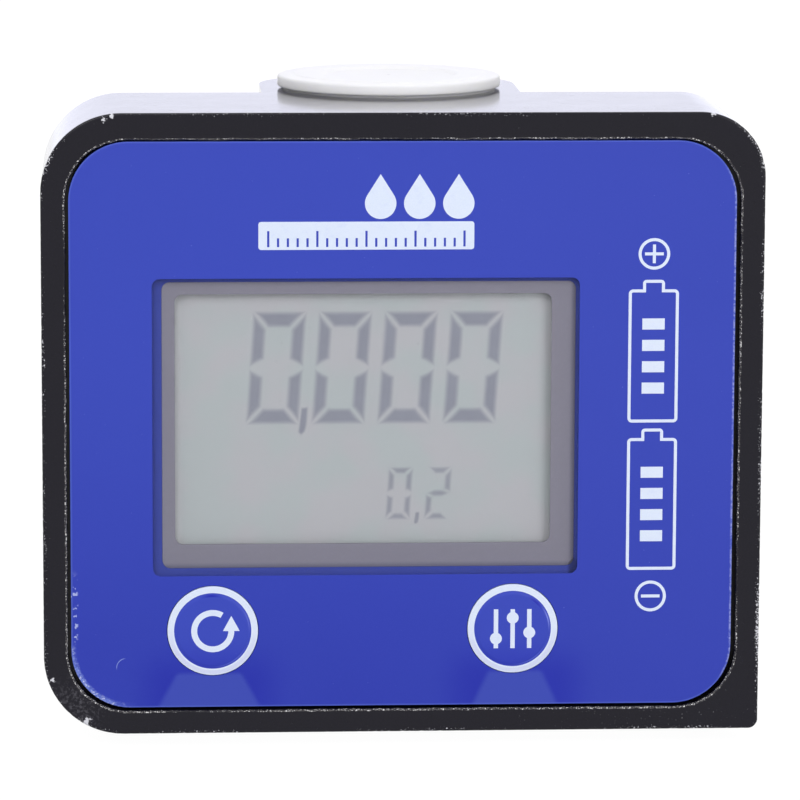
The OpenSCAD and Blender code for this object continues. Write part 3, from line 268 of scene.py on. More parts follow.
def label_sheen_and_wear(g, color, x, z):
    """Painted light on the label: a pale shine of painted reflection below each key, with painted shade beside it, and
    a painted highlight round its cut edge; then the label's rubbed edges and the hair.
    """
    low = KEY_Z - KEY_R
    # painted reflection: a pale shine below each key, with painted shade on its flanks; a shine's middle beside the
    # key's, its half width by the key and how fast it widens below
    for key_x, beside, half, widens in ((RESET_X, -0.45, 4.1, 0.55), (CAL_X, 0.35, 3.4, 0.47)):
        away = g.math("ABSOLUTE", g.math("SUBTRACT", x, key_x + beside))
        spread = g.math("SUBTRACT", away, g.math("MULTIPLY", g.math("SUBTRACT", low, z), widens))
        # painted shade beside the shine
        painted_shade_flank = g.math("MULTIPLY", g.step(away, 11.0, 5.0), g.step(z, low + 5, low - 1))
        color = g.blend(g.math("MULTIPLY", painted_shade_flank, 0.75), color, (0.017, 0.026, 0.4))
        # the painted reflection
        shine = g.math("MULTIPLY", g.step(spread, half + 0.5, half - 0.5), g.step(z, low + 0.6, low - 0.2))
        color = g.blend(shine, color, (0.048, 0.074, 0.46))
    # how far a place lies inside the label's edge
    lx, lz, w, h, r = LABEL
    past = g.vector("SUBTRACT", g.vector("ABSOLUTE", g.vector("SUBTRACT", g.place, (lx * MM, 0, lz * MM))),
                    ((w / 2 - r) * MM, 0, (h / 2 - r) * MM))
    flat = g.vector("MULTIPLY", g.vector("MAXIMUM", past, (0, 0, 0)), (1, 0, 1))
    out = g.math("SUBTRACT", r, g.math("MULTIPLY", g.vector("LENGTH", flat, out=1), 1 / MM))
    rub = g.step(g.noise(0.35, 5, 0.75), 0.42, 0.6)
    bright = g.step(g.noise(0.25, 4, 0.8), 0.55, 0.62)
    rubbed = g.math("ADD", g.math("MULTIPLY", rub, 0.75), 0.25)
    corner = g.all_of(g.step(out, 0.75, 0.25), g.near(-38.7, 3.0, 6.6), rubbed)
    dash = g.all_of(g.step(out, 1.0, 0.5), g.near(-40.6, 12.0, 5.6), g.specks(0.6, 0.58))
    side = g.all_of(g.step(out, 0.32, 0.12), g.step(x, 40.0, 41.4), rub)
    # painted highlight: a pale line all round the label's cut edge, where it catches light
    line = g.step(out, 0.26, 0.1)
    hair_x, hair_z, bend = HAIR
    hair = g.all_of(g.band(g.away(hair_x, hair_z), bend, 0.055), g.near(hair_x - 0.9, hair_z + 0.7, 1.1))
    # each mark, how strong it is, its most and its colour
    for mark, strength, most, tone in (
            (line, 0.4, 1.0, (0.13, 0.2, 0.72)), (corner, 2.0, 0.9, (0.17, 0.24, 0.68)),
            (g.all_of(corner, bright), 3.0, 0.9, (0.72, 0.76, 0.95)), (dash, 2.0, 0.8, (0.5, 0.56, 0.88)),
            (side, 0.7, 1.0, (0.42, 0.46, 0.8)), (hair, 1.6, 0.5, (0.4, 0.5, 0.9))):
        color = g.blend(g.math("MINIMUM", g.math("MULTIPLY", mark, strength), most), color, tone)
    return color


def key_shading_and_ink(g, color, z):
    """The keys' pressed-in faces: painted shade deepening towards the bottom, with a painted shadow crescent and
    painted highlight crescents by the ring, and the ring's ink on the rim.
    """
    # painted shade: deeper blue towards the bottom
    color = g.blend(g.math("MULTIPLY", g.step(z, KEY_Z - 0.5, KEY_Z - 5.0), 0.8), color, (0.028, 0.042, 0.46))
    # the turn at which a key's painted shadow crescent lies, and how strong its painted highlight at the right is
    for key_x, shadow_turn, highlight_share in ((RESET_X, 92, 0.2), (CAL_X, 48, 0.6)):
        away = g.away(key_x, KEY_Z)
        turn = math.radians(shadow_turn)
        # painted shadow crescent inside the ring
        dark = g.all_of(g.band(away, 4.5, 0.2), g.near(
            key_x + 4.5 * math.cos(turn), KEY_Z + 4.5 * math.sin(turn), 1.7))
        # painted highlight crescents: a light one at the lower right and a glance at the right
        light = g.all_of(g.band(away, 4.62, 0.1), g.near(key_x + 2.6, KEY_Z - 3.7, 3.6))
        glance = g.all_of(g.band(away, 4.6, 0.1), g.near(key_x + 4.2, KEY_Z + 1.2, 1.8))
        color = g.blend(g.math("MULTIPLY", dark, 0.9), color, (0.008, 0.016, 0.4))
        color = g.blend(g.math("MULTIPLY", light, 0.7), color, (0.11, 0.15, 0.62))
        color = g.blend(g.math("MULTIPLY", glance, highlight_share), color, (0.3, 0.36, 0.9))
        rim = g.all_of(g.step(away, RING_OUT - 0.1, RING_OUT - 0.04), g.step(away, KEY_R + 0.3, KEY_R + 0.1))
        color = g.blend(rim, color, (0.76, 0.84, 0.985))
    return color


def label_material(name, on_label):
    """Printed film with painted shade, lighter towards its top, with the label's painted light, wear and hair, or the
    keys' painted shading and ring ink.
    """
    g = Graph(name)
    fine = g.noise(0.25, 3)
    broad = g.noise(14.0, 2)
    x, z = g.axis("X"), g.axis("Z")
    low_color = (0.0255, 0.043, 0.415) if on_label else (0.043, 0.07, 0.5)
    # painted shade: darker towards the bottom, on the label and the keys alike
    color = g.blend(g.step(z, -4.0, 46.0), low_color, (0.0395, 0.067, 0.48))
    color = g.blend(g.math("MULTIPLY", g.step(x, -5.0, 40.0), 0.5), color, (0.037, 0.06, 0.44))
    color = g.blend(g.math("MULTIPLY", broad, 0.25), color, (0.042, 0.062, 0.5))
    color = g.blend(g.math("MULTIPLY", fine, 0.1), color, (0.08, 0.11, 0.6))
    color = g.blend(g.math("MULTIPLY", g.specks(0.4, 0.77), 0.4), color, (0.3, 0.36, 0.8))
    return g.finish(
        color=label_sheen_and_wear(g, color, x, z) if on_label else key_shading_and_ink(g, color, z),
        roughness=g.level(broad, 0.3, 0.4), ior=1.3,
        normal=g.relief(fine, 0.004, g.relief(broad, 0.15)))


def print_material():
    g = Graph("white_ink")
    fine = g.noise(0.18, 4, 0.6)
    thin = g.math("MULTIPLY", g.step(g.noise(1.2, 4, 0.6), 0.5, 0.8), 0.3)
    color = g.blend(fine, (0.7, 0.79, 0.97), (0.82, 0.89, 1.0))
    color = g.blend(thin, color, (0.58, 0.66, 0.95))
    for key_x in (RESET_X, CAL_X):
        shade_side = g.all_of(g.band(g.away(key_x, KEY_Z), 5.28, 0.3), g.step(g.axis("Z"), KEY_Z + 1.0, KEY_Z - 3.0))
        color = g.blend(g.math("MULTIPLY", shade_side, 0.45), color, (0.56, 0.57, 0.82))
    return g.finish(color=color, roughness=0.4, normal=g.relief(fine, 0.006))


def clear_material(name, tint, rough, dust_share):
    """A thin clear sheet: it lets light through and mirrors a share of it, with a little dust."""
    g = Graph(name)
    dust = g.specks(0.3, 0.76)
    haze = g.noise(6.0, 3)
    g.finish(
        color=g.blend(dust, tint, (0.9, 0.9, 0.9)),
        roughness=g.level(haze, rough * 0.7, rough * 1.3), normal=g.relief(haze, 0.02))
    through = g.add("ShaderNodeBsdfTransparent")
    mirror = g.add("ShaderNodeFresnel")
    g.put(mirror.inputs["IOR"], 1.3)
    share = g.math("ADD", mirror.outputs[0], g.math("MULTIPLY", dust, dust_share))
    g.mix(g.math("MINIMUM", share, 1.0), through, g.shader)
    return g.mat


def display_tone(g):
    """The display's grey: mottled, dusty at its upper left, and paler with painted light along the left and top edges
    that the bezel shades.
    """
    x, z = g.axis("X"), g.axis("Z")
    tone = g.blend(g.step(g.noise(7.0, 2, 0.4), 0.36, 0.64), (0.645, 0.703, 0.715), (0.69, 0.69, 0.725))
    tone = g.blend(g.math("MULTIPLY", g.noise(0.12, 2), 0.12), tone, (0.86, 0.86, 0.88))
    # painted light: paler along the left and top edges, against the bezel's shade
    edge = g.math("MAXIMUM", g.step(x, VIEW_X + 1.2, VIEW_X), g.step(z, VIEW_Z + VIEW_H - 1.4, VIEW_Z + VIEW_H))
    tone = g.blend(g.math("MULTIPLY", edge, 0.75), tone, (0.95, 0.97, 1.0))
    dust = g.specks(0.4, 0.71, 0.8, g.near(-19, 48, 8))
    return g.blend(g.math("MULTIPLY", dust, 0.8), tone, (1.0, 1.0, 1.0))


def display_material():
    g = Graph("display_grey")
    return g.finish(color=display_tone(g), roughness=0.6, ior=1.2, normal=g.relief(g.noise(0.12, 2), 0.006))


def segment_material():
    """Liquid crystal: darker than the display's grey, into which the rim of each stroke fades."""
    g = Graph("lit_segments")
    soft = g.add("ShaderNodeAttribute", attribute_name="soft").outputs["Fac"]
    dark = g.blend(g.noise(2.0, 3), (0.355, 0.365, 0.45), (0.415, 0.43, 0.515))
    return g.finish(
        color=g.blend(soft, display_tone(g), dark), roughness=0.6, ior=1.2,
        normal=g.relief(g.noise(0.12, 2), 0.006))


def bezel_material():
    """Grey moulding, darker with painted shade along its right and bottom edges."""
    g = Graph("grey_moulding")
    fine = g.noise(0.35, 3)
    # painted shade: darker along the right and bottom edges
    edge = g.math("MAXIMUM", g.step(g.axis("X"), VIEW_X + VIEW_W + 2.2, VIEW_X + VIEW_W + 3.0),
                  g.step(g.axis("Z"), VIEW_Z - 2.2, VIEW_Z - 3.0))
    color = g.blend(fine, (0.285, 0.275, 0.33), (0.312, 0.3, 0.362))
    color = g.blend(g.math("MULTIPLY", edge, 0.6), color, (0.09, 0.09, 0.16))
    color = g.blend(g.math("MULTIPLY", g.specks(0.3, 0.76), 0.5), color, (0.6, 0.6, 0.66))
    return g.finish(color=color, roughness=0.6, ior=1.2, normal=g.relief(fine, 0.01))


def plug_material():
    """Milky plastic with a dark dot at the middle of its top."""
    g = Graph("milky_plastic")
    fine = g.noise(0.5, 3)
    broad = g.noise(6.0, 3)
    centre = g.vector("LENGTH", g.vector("MULTIPLY", g.place, (1 / MM, 1 / MM, 0)), out=1)
    color = g.blend(broad, (0.955, 0.945, 0.98), (0.975, 0.965, 0.995))
    return g.finish(
        color=g.blend(g.math("MULTIPLY", g.step(centre, 0.3, 0.12), 0.5), color, (0.45, 0.45, 0.55)),
        roughness=g.level(fine, 0.35, 0.45), ior=1.35, subsurface_weight=0.6,
        subsurface_radius=(0.0015, 0.0015, 0.0017), subsurface_scale=1.0,
        normal=g.relief(fine, 0.01, g.relief(broad, 0.05)))


def metal(name, color, rough):
    """A bare metal with fine changes of roughness."""
    g = Graph(name)
    lines = g.noise(0.12, 3, 0.5)
    broad = g.noise(2.5, 3)
    return g.finish(
        color=g.blend(broad, shade(color, 0.85), shade(color, 1.08)), metallic=1.0,
        roughness=g.level(lines, rough - 0.08, rough + 0.12), normal=g.relief(lines, 0.006))


PAINT = casting_material()
LABEL_FILM = label_material("printed_film", True)
KEY_FILM = label_material("key_film", False)
INK = print_material()
PLUG = plug_material()
SEGMENTS = segment_material()
DISPLAY = display_material()
FINISHES = {
    "black_casting": PAINT,
    "black_plastic": surface("black_plastic_grain", (0.022, 0.022, 0.026), 0.5, 0.3),
    "blue_film": LABEL_FILM,
    "blue_plastic": surface("blue_plastic_grain", (0.049, 0.077, 0.42), 0.5, 0.5, ior=1.25),
    "white_print": INK,
    "clear_pane": clear_material("window_sheet", (0.9, 0.92, 0.95), 0.06, 0.3),
    "grey_bezel": bezel_material(),
    "display_glass": clear_material("display_sheet", (0.85, 0.88, 0.87), 0.2, 0.08),
    "dark_segments": SEGMENTS,
    "reflector": DISPLAY,
    "black_rubber": surface("black_rubber_grain", (0.02, 0.02, 0.022), 0.75, 0.5, 0.2),
    "red_rubber": surface("red_rubber_grain", (0.4, 0.045, 0.02), 0.6, 0.5),
    "green_board": surface("board_lacquer", (0.025, 0.14, 0.045), 0.35, 0.6, 0.15),
    "board_part": surface("board_part_grain", (0.26, 0.2, 0.11), 0.5, 0.25, 0.2),
    "bright_steel": metal("bright_steel_turned", (0.56, 0.56, 0.58), 0.28),
    "brass_metal": metal("brass_turned", (0.66, 0.47, 0.2), 0.3),
    "cell_jacket": surface("cell_jacket_grain", (0.56, 0.34, 0.05), 0.35, 0.8, 0.08),
    "white_plastic": surface("white_plastic_grain", (0.74, 0.71, 0.64), 0.42, 0.5, 0.05),
    "magnet": metal("magnet_plated", (0.32, 0.32, 0.34), 0.35),
    "clear_white_plastic": PLUG,
}


def wear_materials():
    """Gives every CAD node the material of its slot in the record."""
    for part in frame["record"]["subparts"]:
        mesh = NODES[part["node"]].data
        mesh.materials.clear()
        # the rear glass carries the display's grey, so only the pane and the front glass are seen through
        own = DISPLAY if part["node"] == "rear_glass" else FINISHES[part["material_slot"]]
        mesh.materials.append(own)


wear_materials()


# Making pieces


def add_object(name, data):
    obj = bpy.data.objects.new(name, data)
    bpy.context.scene.collection.objects.link(obj)
    return obj


def add_piece(name, bm, material, body, replaced=(), angle=35.0):
    """A mesh in millimetres becomes a piece that rides on a body."""
    bmesh.ops.recalc_face_normals(bm, faces=bm.faces)
    bmesh.ops.scale(bm, vec=(MM, MM, MM), verts=bm.verts)
    bm.normal_update()
    for e in bm.edges:
        e.smooth = len(e.link_faces) == 2 and e.calc_face_angle(0) < math.radians(angle)
    mesh = bpy.data.meshes.new(name)
    bm.to_mesh(mesh)
    bm.free()
    mesh.materials.append(material)
    mesh.polygons.foreach_set("use_smooth", [True] * len(mesh.polygons))
    obj = add_object(name, mesh)
    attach(obj, body)
    if replaced:
        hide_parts(*replaced)
    return obj


def skin(bm, rows, closed_rows=False):
    """Faces between rows of points that each close on themselves."""
    rings = [[bm.verts.new(p) for p in row] for row in rows]
    pairs = list(zip(rings, rings[1:]))
    if closed_rows:
        pairs.append((rings[-1], rings[0]))
    for a, b in pairs:
        for k in range(len(a)):
            j = (k + 1) % len(a)
            bm.faces.new((a[k], a[j], b[j], b[k]))
    return rings


def fillet(points, radius, steps=4):
    """Rounds the corners of an open run of points in a plane, apart from its ends."""
    out = [Vector(points[0])]
    for a, b, c in zip(points, points[1:], points[2:]):
        a, b, c = Vector(a), Vector(b), Vector(c)
        to_a, to_c = (a - b).normalized(), (c - b).normalized()
        half = to_a.angle(to_c) / 2
        reach = min(radius / math.tan(half), 0.45 * (a - b).length, 0.45 * (c - b).length)
        # nearly straight, or too tight to round
        if half > 1.5 or reach < 1e-4:
            out.append(b)
            continue
        p, q = b + to_a * reach, b + to_c * reach
        for k in range(steps + 1):
            t = k / steps
            out.append(p * (1 - t) ** 2 + b * 2 * t * (1 - t) + q * t * t)
    out.append(Vector(points[-1]))
    return out


def lathe(bm, profile, around=128, matrix=None):
    """Turns a run of (radius, height) points about Z. Its ends may lie on the axis."""
    rows = []
    for p in profile:
        r, h = max(p[0], 0.0), p[1]
        rows.append([(r * math.cos(2 * math.pi * k / around), r * math.sin(2 * math.pi * k / around), h)
                     for k in range(around)])
    skin(bm, rows)
    bmesh.ops.remove_doubles(bm, verts=bm.verts, dist=1e-5)
    if matrix:
        bmesh.ops.transform(bm, matrix=matrix, verts=bm.verts)


def thicken(bm):
    """Gives thin sheets that face forwards a back."""
    made = bmesh.ops.extrude_face_region(bm, geom=bm.faces[:])
    for v in (g for g in made["geom"] if isinstance(g, bmesh.types.BMVert)):
        v.co.y += INK_T


def face_matrix(x, z):
    """Carries a shape whose height runs out of the page to a place on the face, height as depth."""
    return Matrix(((1, 0, 0, x), (0, 0, 1, FRONT_Y), (0, 1, 0, z), (0, 0, 0, 1)))


# Cast body


# How near two places of the casting count as one
TOUCH = 0.01
# Half the flow tube's width and the radius of its ports, with some room
TUBE_HALF_W, PORT_R = 17.4, 14.2


def round_outline(x, z, w, h, radii, inset):
    """Points round a rectangle with its own radius at each corner, drawn smaller by inset."""
    arc, side = 40, 200  # steps round a corner and along a side
    least = 0.08
    corners = ((-1, -1), (1, -1), (1, 1), (-1, 1))
    points = []
    for k, ((sx, sz), r) in enumerate(zip(corners, radii)):
        r = max(r - inset, least)
        cx = x + sx * (w / 2 - inset - r)
        cz = z + sz * (h / 2 - inset - r)
        start = math.radians(180 + 90 * k)
        for j in range(arc + 1):
            a = start + math.pi / 2 * j / arc
            points.append(Vector((cx + r * math.cos(a), cz + r * math.sin(a))))
        nx, nz = corners[(k + 1) % 4]
        nr = max(radii[(k + 1) % 4] - inset, least)
        a = start + math.pi / 2
        last = points[-1]
        end = Vector((x + nx * (w / 2 - inset - nr), z + nz * (h / 2 - inset - nr)))
        end += Vector((math.cos(a), math.sin(a))) * nr
        for j in range(1, side):
            points.append(last.lerp(end, j / side))
    return points


def spot(x, z, places):
    """The most that any of some (x, z, radius, weight) spots gives at a place."""
    return max(w * max(0.0, 1 - math.hypot(x - a, z - b) / r) for a, b, r, w in places)


# Where the frame's edges are worn: X, Z, radius and how much
OUTER_SPOTS = (
    (-38.5, -0.5, 9, 0.45), (-44, 8, 8, 0.4), (44.4, 71.9, 5, 0.7), (45.3, 68.5, 5, 0.7), (44.8, 55, 18, 0.5),
    (45.2, 30, 18, 0.6), (45.2, 10, 18, 0.7), (-43.8, 67.7, 6, 0.8), (-44.6, 45, 18, 0.5), (-44.7, 22, 16, 0.5),
    (-20, 74.6, 14, 0.35), (8, 74.6, 14, 0.4), (-26, -3.5, 10, 0.55), (3, -3.5, 14, 0.5), (34, -3.5, 14, 0.55),
)
INNER_SPOTS = (
    (-39, 4, 14, 0.9), (38, 67, 14, 0.9), (42.2, 40, 26, 0.8), (-18, 71.2, 22, 0.8), (20, 71.2, 22, 0.9),
    (0, -0.6, 30, 0.8), (30, -0.6, 16, 0.8), (-41.6, 30, 26, 0.7), (-38, 66, 10, 0.9), (39, 4, 12, 0.9),
)


def front_frame():
    """The frame round the label: a lofted ring with soft, chipped and rubbed edges."""
    outer_r, inner_r = 0.25, 0.22
    quarter = [math.pi / 2 * k / 4 for k in range(5)]
    # inset from the body's outline, depth, how rubbed
    outer = [(0, LEDGE_DEPTH, 0), (0, 1.4, 0), (0, 0.85, 0.3), (0, 0.5, 0.7)]
    outer += [(outer_r * (1 - math.cos(a)), outer_r * (1 - math.sin(a)), 1) for a in quarter]
    outer += [(0.42, 0, 0.8), (0.6, 0, 0.4), (1.0, 0, 0)]
    # the same from the opening's outline, outwards
    inner = [(1.0, 0, 0), (0.45, 0, 0.0), (0.27, 0, 0.0)]
    inner += [(inner_r * (1 - math.sin(a)), inner_r * (1 - math.cos(a)), 1) for a in quarter]
    inner += [(0, 0.27, 0.0), (0, 0.45, 0.0), (0, 1.2, 0), (0, LEDGE_DEPTH, 0)]
    bm = bmesh.new()
    wear, lip = (bm.verts.layers.float.new(name) for name in ("wear", "lip"))
    rows, worn = [], []
    for inset, depth, rub in outer:
        row = []
        for p in round_outline(MID_X, MID_Z, BODY_W, BODY_H, BODY_CORNERS, inset):
            rubbed = rub * spot(p.x, p.y, OUTER_SPOTS)
            n = noise.noise(Vector((p.x * 1.7, p.y * 1.7, 3.0)))
            dent = 0.02 * rub * max(n, 0) + 0.1 * rubbed * max(0.0, n)
            q = p + (Vector((MID_X, MID_Z)) - p).normalized() * dent
            row.append((q.x, FRONT_Y + depth + dent * 0.5 * (depth < 0.5), q.y))
            worn.append((rub * 0.22 + rubbed, 0.0))
        rows.append(row)
    for inset, depth, rub in inner:
        row = []
        for p in round_outline(MID_X, OPEN_Z, OPEN_W, OPEN_H, (OPEN_R,) * 4, -inset):
            n = noise.noise(Vector((p.x * 0.5, p.y * 0.5, 5.0))) + 0.7 * noise.noise(Vector((p.x, p.y, 1.0)) * 1.6)
            q = p + (p - Vector((MID_X, OPEN_Z))).normalized() * 0.1 * n * rub
            row.append((q.x, FRONT_Y + depth, q.y))
            worn.append((0.0, rub * (0.3 + spot(p.x, p.y, INNER_SPOTS))))
        rows.append(row)
    rings = skin(bm, rows, closed_rows=True)
    for v, w in zip((v for ring in rings for v in ring), worn):
        v[wear], v[lip] = w
    return bm


def cast_body():
    """The casting behind the frame, as one skin of its two CAD nodes."""
    parts = []
    for name in ("housing", "flow_tube"):
        obj = add_object(name + "_copy", NODES[name].data.copy())
        parts.append(obj)
        bm = bmesh.new()
        bm.from_mesh(obj.data)
        bmesh.ops.remove_doubles(bm, verts=bm.verts, dist=1e-7)
        bm.to_mesh(obj.data)
        bm.free()
    join = parts[0].modifiers.new("join", "BOOLEAN")
    join.operation = "UNION"
    join.solver = "EXACT"
    join.object = parts[1]
    done = parts[0].evaluated_get(bpy.context.evaluated_depsgraph_get())
    bm = bmesh.new()
    bm.from_mesh(done.to_mesh())
    done.to_mesh_clear()
    for obj in parts:
        bpy.data.objects.remove(obj)
    bmesh.ops.scale(bm, vec=(1 / MM,) * 3, verts=bm.verts)
    bmesh.ops.remove_doubles(bm, verts=bm.verts, dist=1e-4)
    cut = FRONT_Y + LEDGE_DEPTH
    made = bmesh.ops.bisect_plane(
        bm, geom=bm.verts[:] + bm.edges[:] + bm.faces[:], plane_co=(0, cut, 0), plane_no=(0, -1, 0),
        clear_outer=True, dist=1e-4)
    rim = [e for e in made["geom_cut"] if isinstance(e, bmesh.types.BMEdge) and e.is_boundary]
    bmesh.ops.triangle_fill(bm, use_beauty=True, edges=rim)
    bmesh.ops.dissolve_limit(bm, angle_limit=math.radians(0.6), verts=bm.verts, edges=bm.edges)
    return bm


def sharp_edges(bm):
    """The edges between two faces that turn by more than 35 degrees."""
    return [e for e in bm.edges if len(e.link_faces) == 2 and e.calc_face_angle(0) > math.radians(35)]


def arrow_edges(bm):
    """The edges round the top of the raised flow arrow."""
    return [e for e in sharp_edges(bm) if all(abs(v.co.y - ARROW_Y) < TOUCH for v in e.verts)]


def at_ends(z):
    """Whether a height is that of one of the flow tube's ends."""
    return min(abs(z - TUBE_LOW), abs(z - TUBE_HIGH)) < TOUCH


def on_back(e):
    """Whether an edge lies on the body's back, clear of the flow tube."""
    a, b = (v.co for v in e.verts)
    return max(abs(a.y - BACK_Y), abs(b.y - BACK_Y)) < TOUCH and abs(a.x + b.x) / 2 > TUBE_HALF_W


def back_edges(bm):
    """The edges round the back of the body."""
    out = []
    for e in filter(on_back, sharp_edges(bm)):
        mid = (e.verts[0].co + e.verts[1].co) / 2
        beside = abs(mid.x - MID_X)
        # at the body's sides, at its top and bottom, or round a corner
        if beside > 44 or at_ends(mid.z) or beside > 34 and (mid.z < 7 or mid.z > 64):
            out.append(e)
    return out


def end_edges(bm):
    """The edges round the ends of the flow tube, outside the ports."""
    out = []
    for e in sharp_edges(bm):
        a, b = (v.co for v in e.verts)
        mid = (a + b) / 2
        if (not on_back(e) and at_ends(mid.z) and abs(a.z - b.z) < TOUCH and mid.y > BACK_Y + 0.1
                and math.hypot(mid.x, mid.y) > PORT_R):
            out.append(e)
    return out


def round_edges(bm, edges, width, steps=4):
    bmesh.ops.bevel(bm, geom=edges, offset=width, offset_type="OFFSET", segments=steps, profile=0.5,
                    affect="EDGES", clamp_overlap=True)


def make_casting():
    """The black casting, whose front frame is a piece of its own."""
    bm = cast_body()
    round_edges(bm, arrow_edges(bm), ARROW_EDGE)
    round_edges(bm, back_edges(bm), 0.9)
    round_edges(bm, end_edges(bm), 1.4, 6)
    # the top of the arrow is half rubbed, and carries some painted glints
    lip = bm.verts.layers.float.new("lip")
    for v in bm.verts:
        v[lip] = 0.52 * (v.co.y > ARROW_Y - ARROW_EDGE - TOUCH)
    casting = add_piece("casting", bm, PAINT, "meter", ("housing", "flow_tube"), 30.0)
    casting.modifiers.new("flat_faces", "WEIGHTED_NORMAL").keep_sharp = True
    add_piece("front_frame", front_frame(), PAINT, "meter", angle=50.0)


make_casting()


# Keys


# A key's dome: its radius, the width and height of the slope round it, and the height of its swell
DOME_R = 4.74
SLOPE_W, SLOPE_H = 0.32, 0.09
SWELL = 0.035


def dome_depth(r):
    """Depth of a key's face at a distance from its middle: a rim that carries the ring, then a dome."""
    if r > DOME_R:
        return KEY_DEPTH
    inner = DOME_R - SLOPE_W
    if r > inner:
        t = (DOME_R - r) / SLOPE_W
        return KEY_DEPTH - SLOPE_H * (3 * t * t - 2 * t ** 3)
    return KEY_DEPTH - SLOPE_H - SWELL * (1 - (r / inner) ** 2)


def make_key(name, body, x):
    """A key: its face, the side of its head, then the collar and the stem behind it."""
    bm = bmesh.new()
    face = [(DOME_R * k / 30, dome_depth(DOME_R * k / 30)) for k in range(31)]
    head_back, collar_r, collar_back, stem_r, stem_back = 1.2, 3.5, 2.6, 3, 3.9
    rest = fillet([(DOME_R + 0.05, KEY_DEPTH), (KEY_R, KEY_DEPTH), (KEY_R, head_back), (collar_r, head_back),
                   (collar_r, collar_back), (stem_r, collar_back), (stem_r, stem_back), (0, stem_back)], 0.07)
    lathe(bm, face + [tuple(p) for p in rest], 128, face_matrix(x, KEY_Z))
    add_piece(name + "_dome", bm, KEY_FILM, body, (name,), 40.0)


def sheet(bm, grid, x, lift):
    """A patch of ink that lies on a key's face, from rows of points in the face's plane."""
    rows = [[bm.verts.new((x + p[0], FRONT_Y + dome_depth(math.hypot(*p)) - lift, KEY_Z + p[1])) for p in row]
            for row in grid]
    for a, b in zip(rows, rows[1:]):
        for k in range(len(a) - 1):
            bm.faces.new((a[k], a[k + 1], b[k + 1], b[k]))


def polar_grid(r0, r1, a0, a1, rings, around):
    """Rows of points round a middle, between two radii and two angles."""
    return [[(r * math.cos(a), r * math.sin(a))
             for a in (math.radians(a0 + (a1 - a0) * k / around) for k in range(around + 1))]
            for r in (r0 + (r1 - r0) * j / rings for j in range(rings + 1))]


def quad_grid(corners, n):
    """Rows of points inside four corners, n steps each way."""
    a, b, c, d = (Vector(p) for p in corners)
    return [[tuple(a.lerp(b, i / n).lerp(d.lerp(c, i / n), j / n)) for i in range(n + 1)] for j in range(n + 1)]


def make_mark(name, body, x, grids):
    """The white print on a key, from patches of ink."""
    bm = bmesh.new()
    for grid in grids:
        # a knob's grid starts from one point, and it lies over its rail
        sheet(bm, grid, x, UPPER_INK_GAP if grid[0][0] == grid[0][1] else INK_GAP)
    bmesh.ops.remove_doubles(bm, verts=bm.verts, dist=1e-4)
    bmesh.ops.recalc_face_normals(bm, faces=bm.faces)
    thicken(bm)
    add_piece(name + "_ink", bm, INK, body, (name,), 40.0)


def make_keys():
    ring = polar_grid(RING_IN, RING_OUT, 0, 360, 4, 128)
    # an arrow that turns back on itself: its arc, and its head about the arc's middle radius
    arc = polar_grid(1.95, 2.7, 60, 360, 3, 64)
    mid_r, half, tip, head_h = 2.325, 1.05, 0.02, 1.9
    head = quad_grid([(mid_r - half, 0), (mid_r + half, 0), (mid_r + tip, head_h), (mid_r - tip, head_h)], 6)
    # three rails with a knob each
    sliders = []
    rail_w, rail_h, pitch = 0.28, 2.5, 2.1  # half the width, half the height, from rail to rail
    for k, knob_z in enumerate((-1.25, 1.4, -0.5)):
        cx = (k - 1) * pitch
        sliders.append(quad_grid([(cx - rail_w, -rail_h), (cx + rail_w, -rail_h),
                                  (cx + rail_w, rail_h), (cx - rail_w, rail_h)], 10))
        sliders.append([[(cx + r * math.cos(a), knob_z + r * math.sin(a))
                         for a in (2 * math.pi * j / 32 for j in range(33))] for r in (0.0, 0.4, 0.75)])
    make_key("reset_key", "reset_button", RESET_X)
    make_key("cal_key", "cal_button", CAL_X)
    make_mark("reset_mark", "reset_button", RESET_X, [ring, arc, head])
    make_mark("cal_mark", "cal_button", CAL_X, [ring, *sliders])


make_keys()


# Display


def offset(points, d):
    """A convex outline grown by d on every side."""
    out, n = [], len(points)
    turn = sum(points[k][0] * points[(k + 1) % n][1] - points[(k + 1) % n][0] * points[k][1] for k in range(n))
    side = 1 if turn > 0 else -1
    for k in range(n):
        a, b, c = (Vector(points[(k + j) % n]) for j in (-1, 0, 1))
        u, v = (b - a).normalized(), (c - b).normalized()
        nu, nv = Vector((u.y, -u.x)) * side, Vector((v.y, -v.x)) * side
        m = (nu + nv).normalized()
        out.append(b + m * d / max(m.dot(nu), 0.35))
    return out


def digit_strokes(w, h, v, b, lit):
    """The lit ones of a digit's seven strokes. Upright strokes are v wide and level ones b."""
    g, m = 0.1, h / 2  # the gap at a stroke's ends, and the digit's middle
    strokes = [
        [(g, h), (w - g, h), (w - v - g, h - b), (v + g, h - b)],
        [(w, h - g), (w - v, h - b - g), (w - v, m + b / 2), (w, m + g)],
        [(w, g), (w - v, b + g), (w - v, m - b / 2), (w, m - g)],
        [(g, 0), (w - g, 0), (w - v - g, b), (v + g, b)],
        [(0, g), (v, b + g), (v, m - b / 2), (0, m - g)],
        [(0, h - g), (v, h - b - g), (v, m + b / 2), (0, m + g)],
        [(g, m), (v + g, m + b / 2), (w - v - g, m + b / 2), (w - g, m),
         (w - v - g, m - b / 2), (v + g, m - b / 2)],
    ]
    return [s for s, on in zip(strokes, lit) if on]


ZERO = (1, 1, 1, 1, 1, 1, 0)
TWO = (1, 1, 0, 1, 1, 0, 1)
LEAN = math.tan(math.radians(3.9))
# How far a stroke is drawn beyond its edge, where it has half faded, and less so in the small digits
BLUR = 0.16
SMALL_BLUR = 0.8 * BLUR
# How wide the rim that fades is, as a share of the stroke's width and at most in millimetres
STROKE_FADE, COMMA_FADE, MOST_FADE = 0.42, 0.26, 0.58
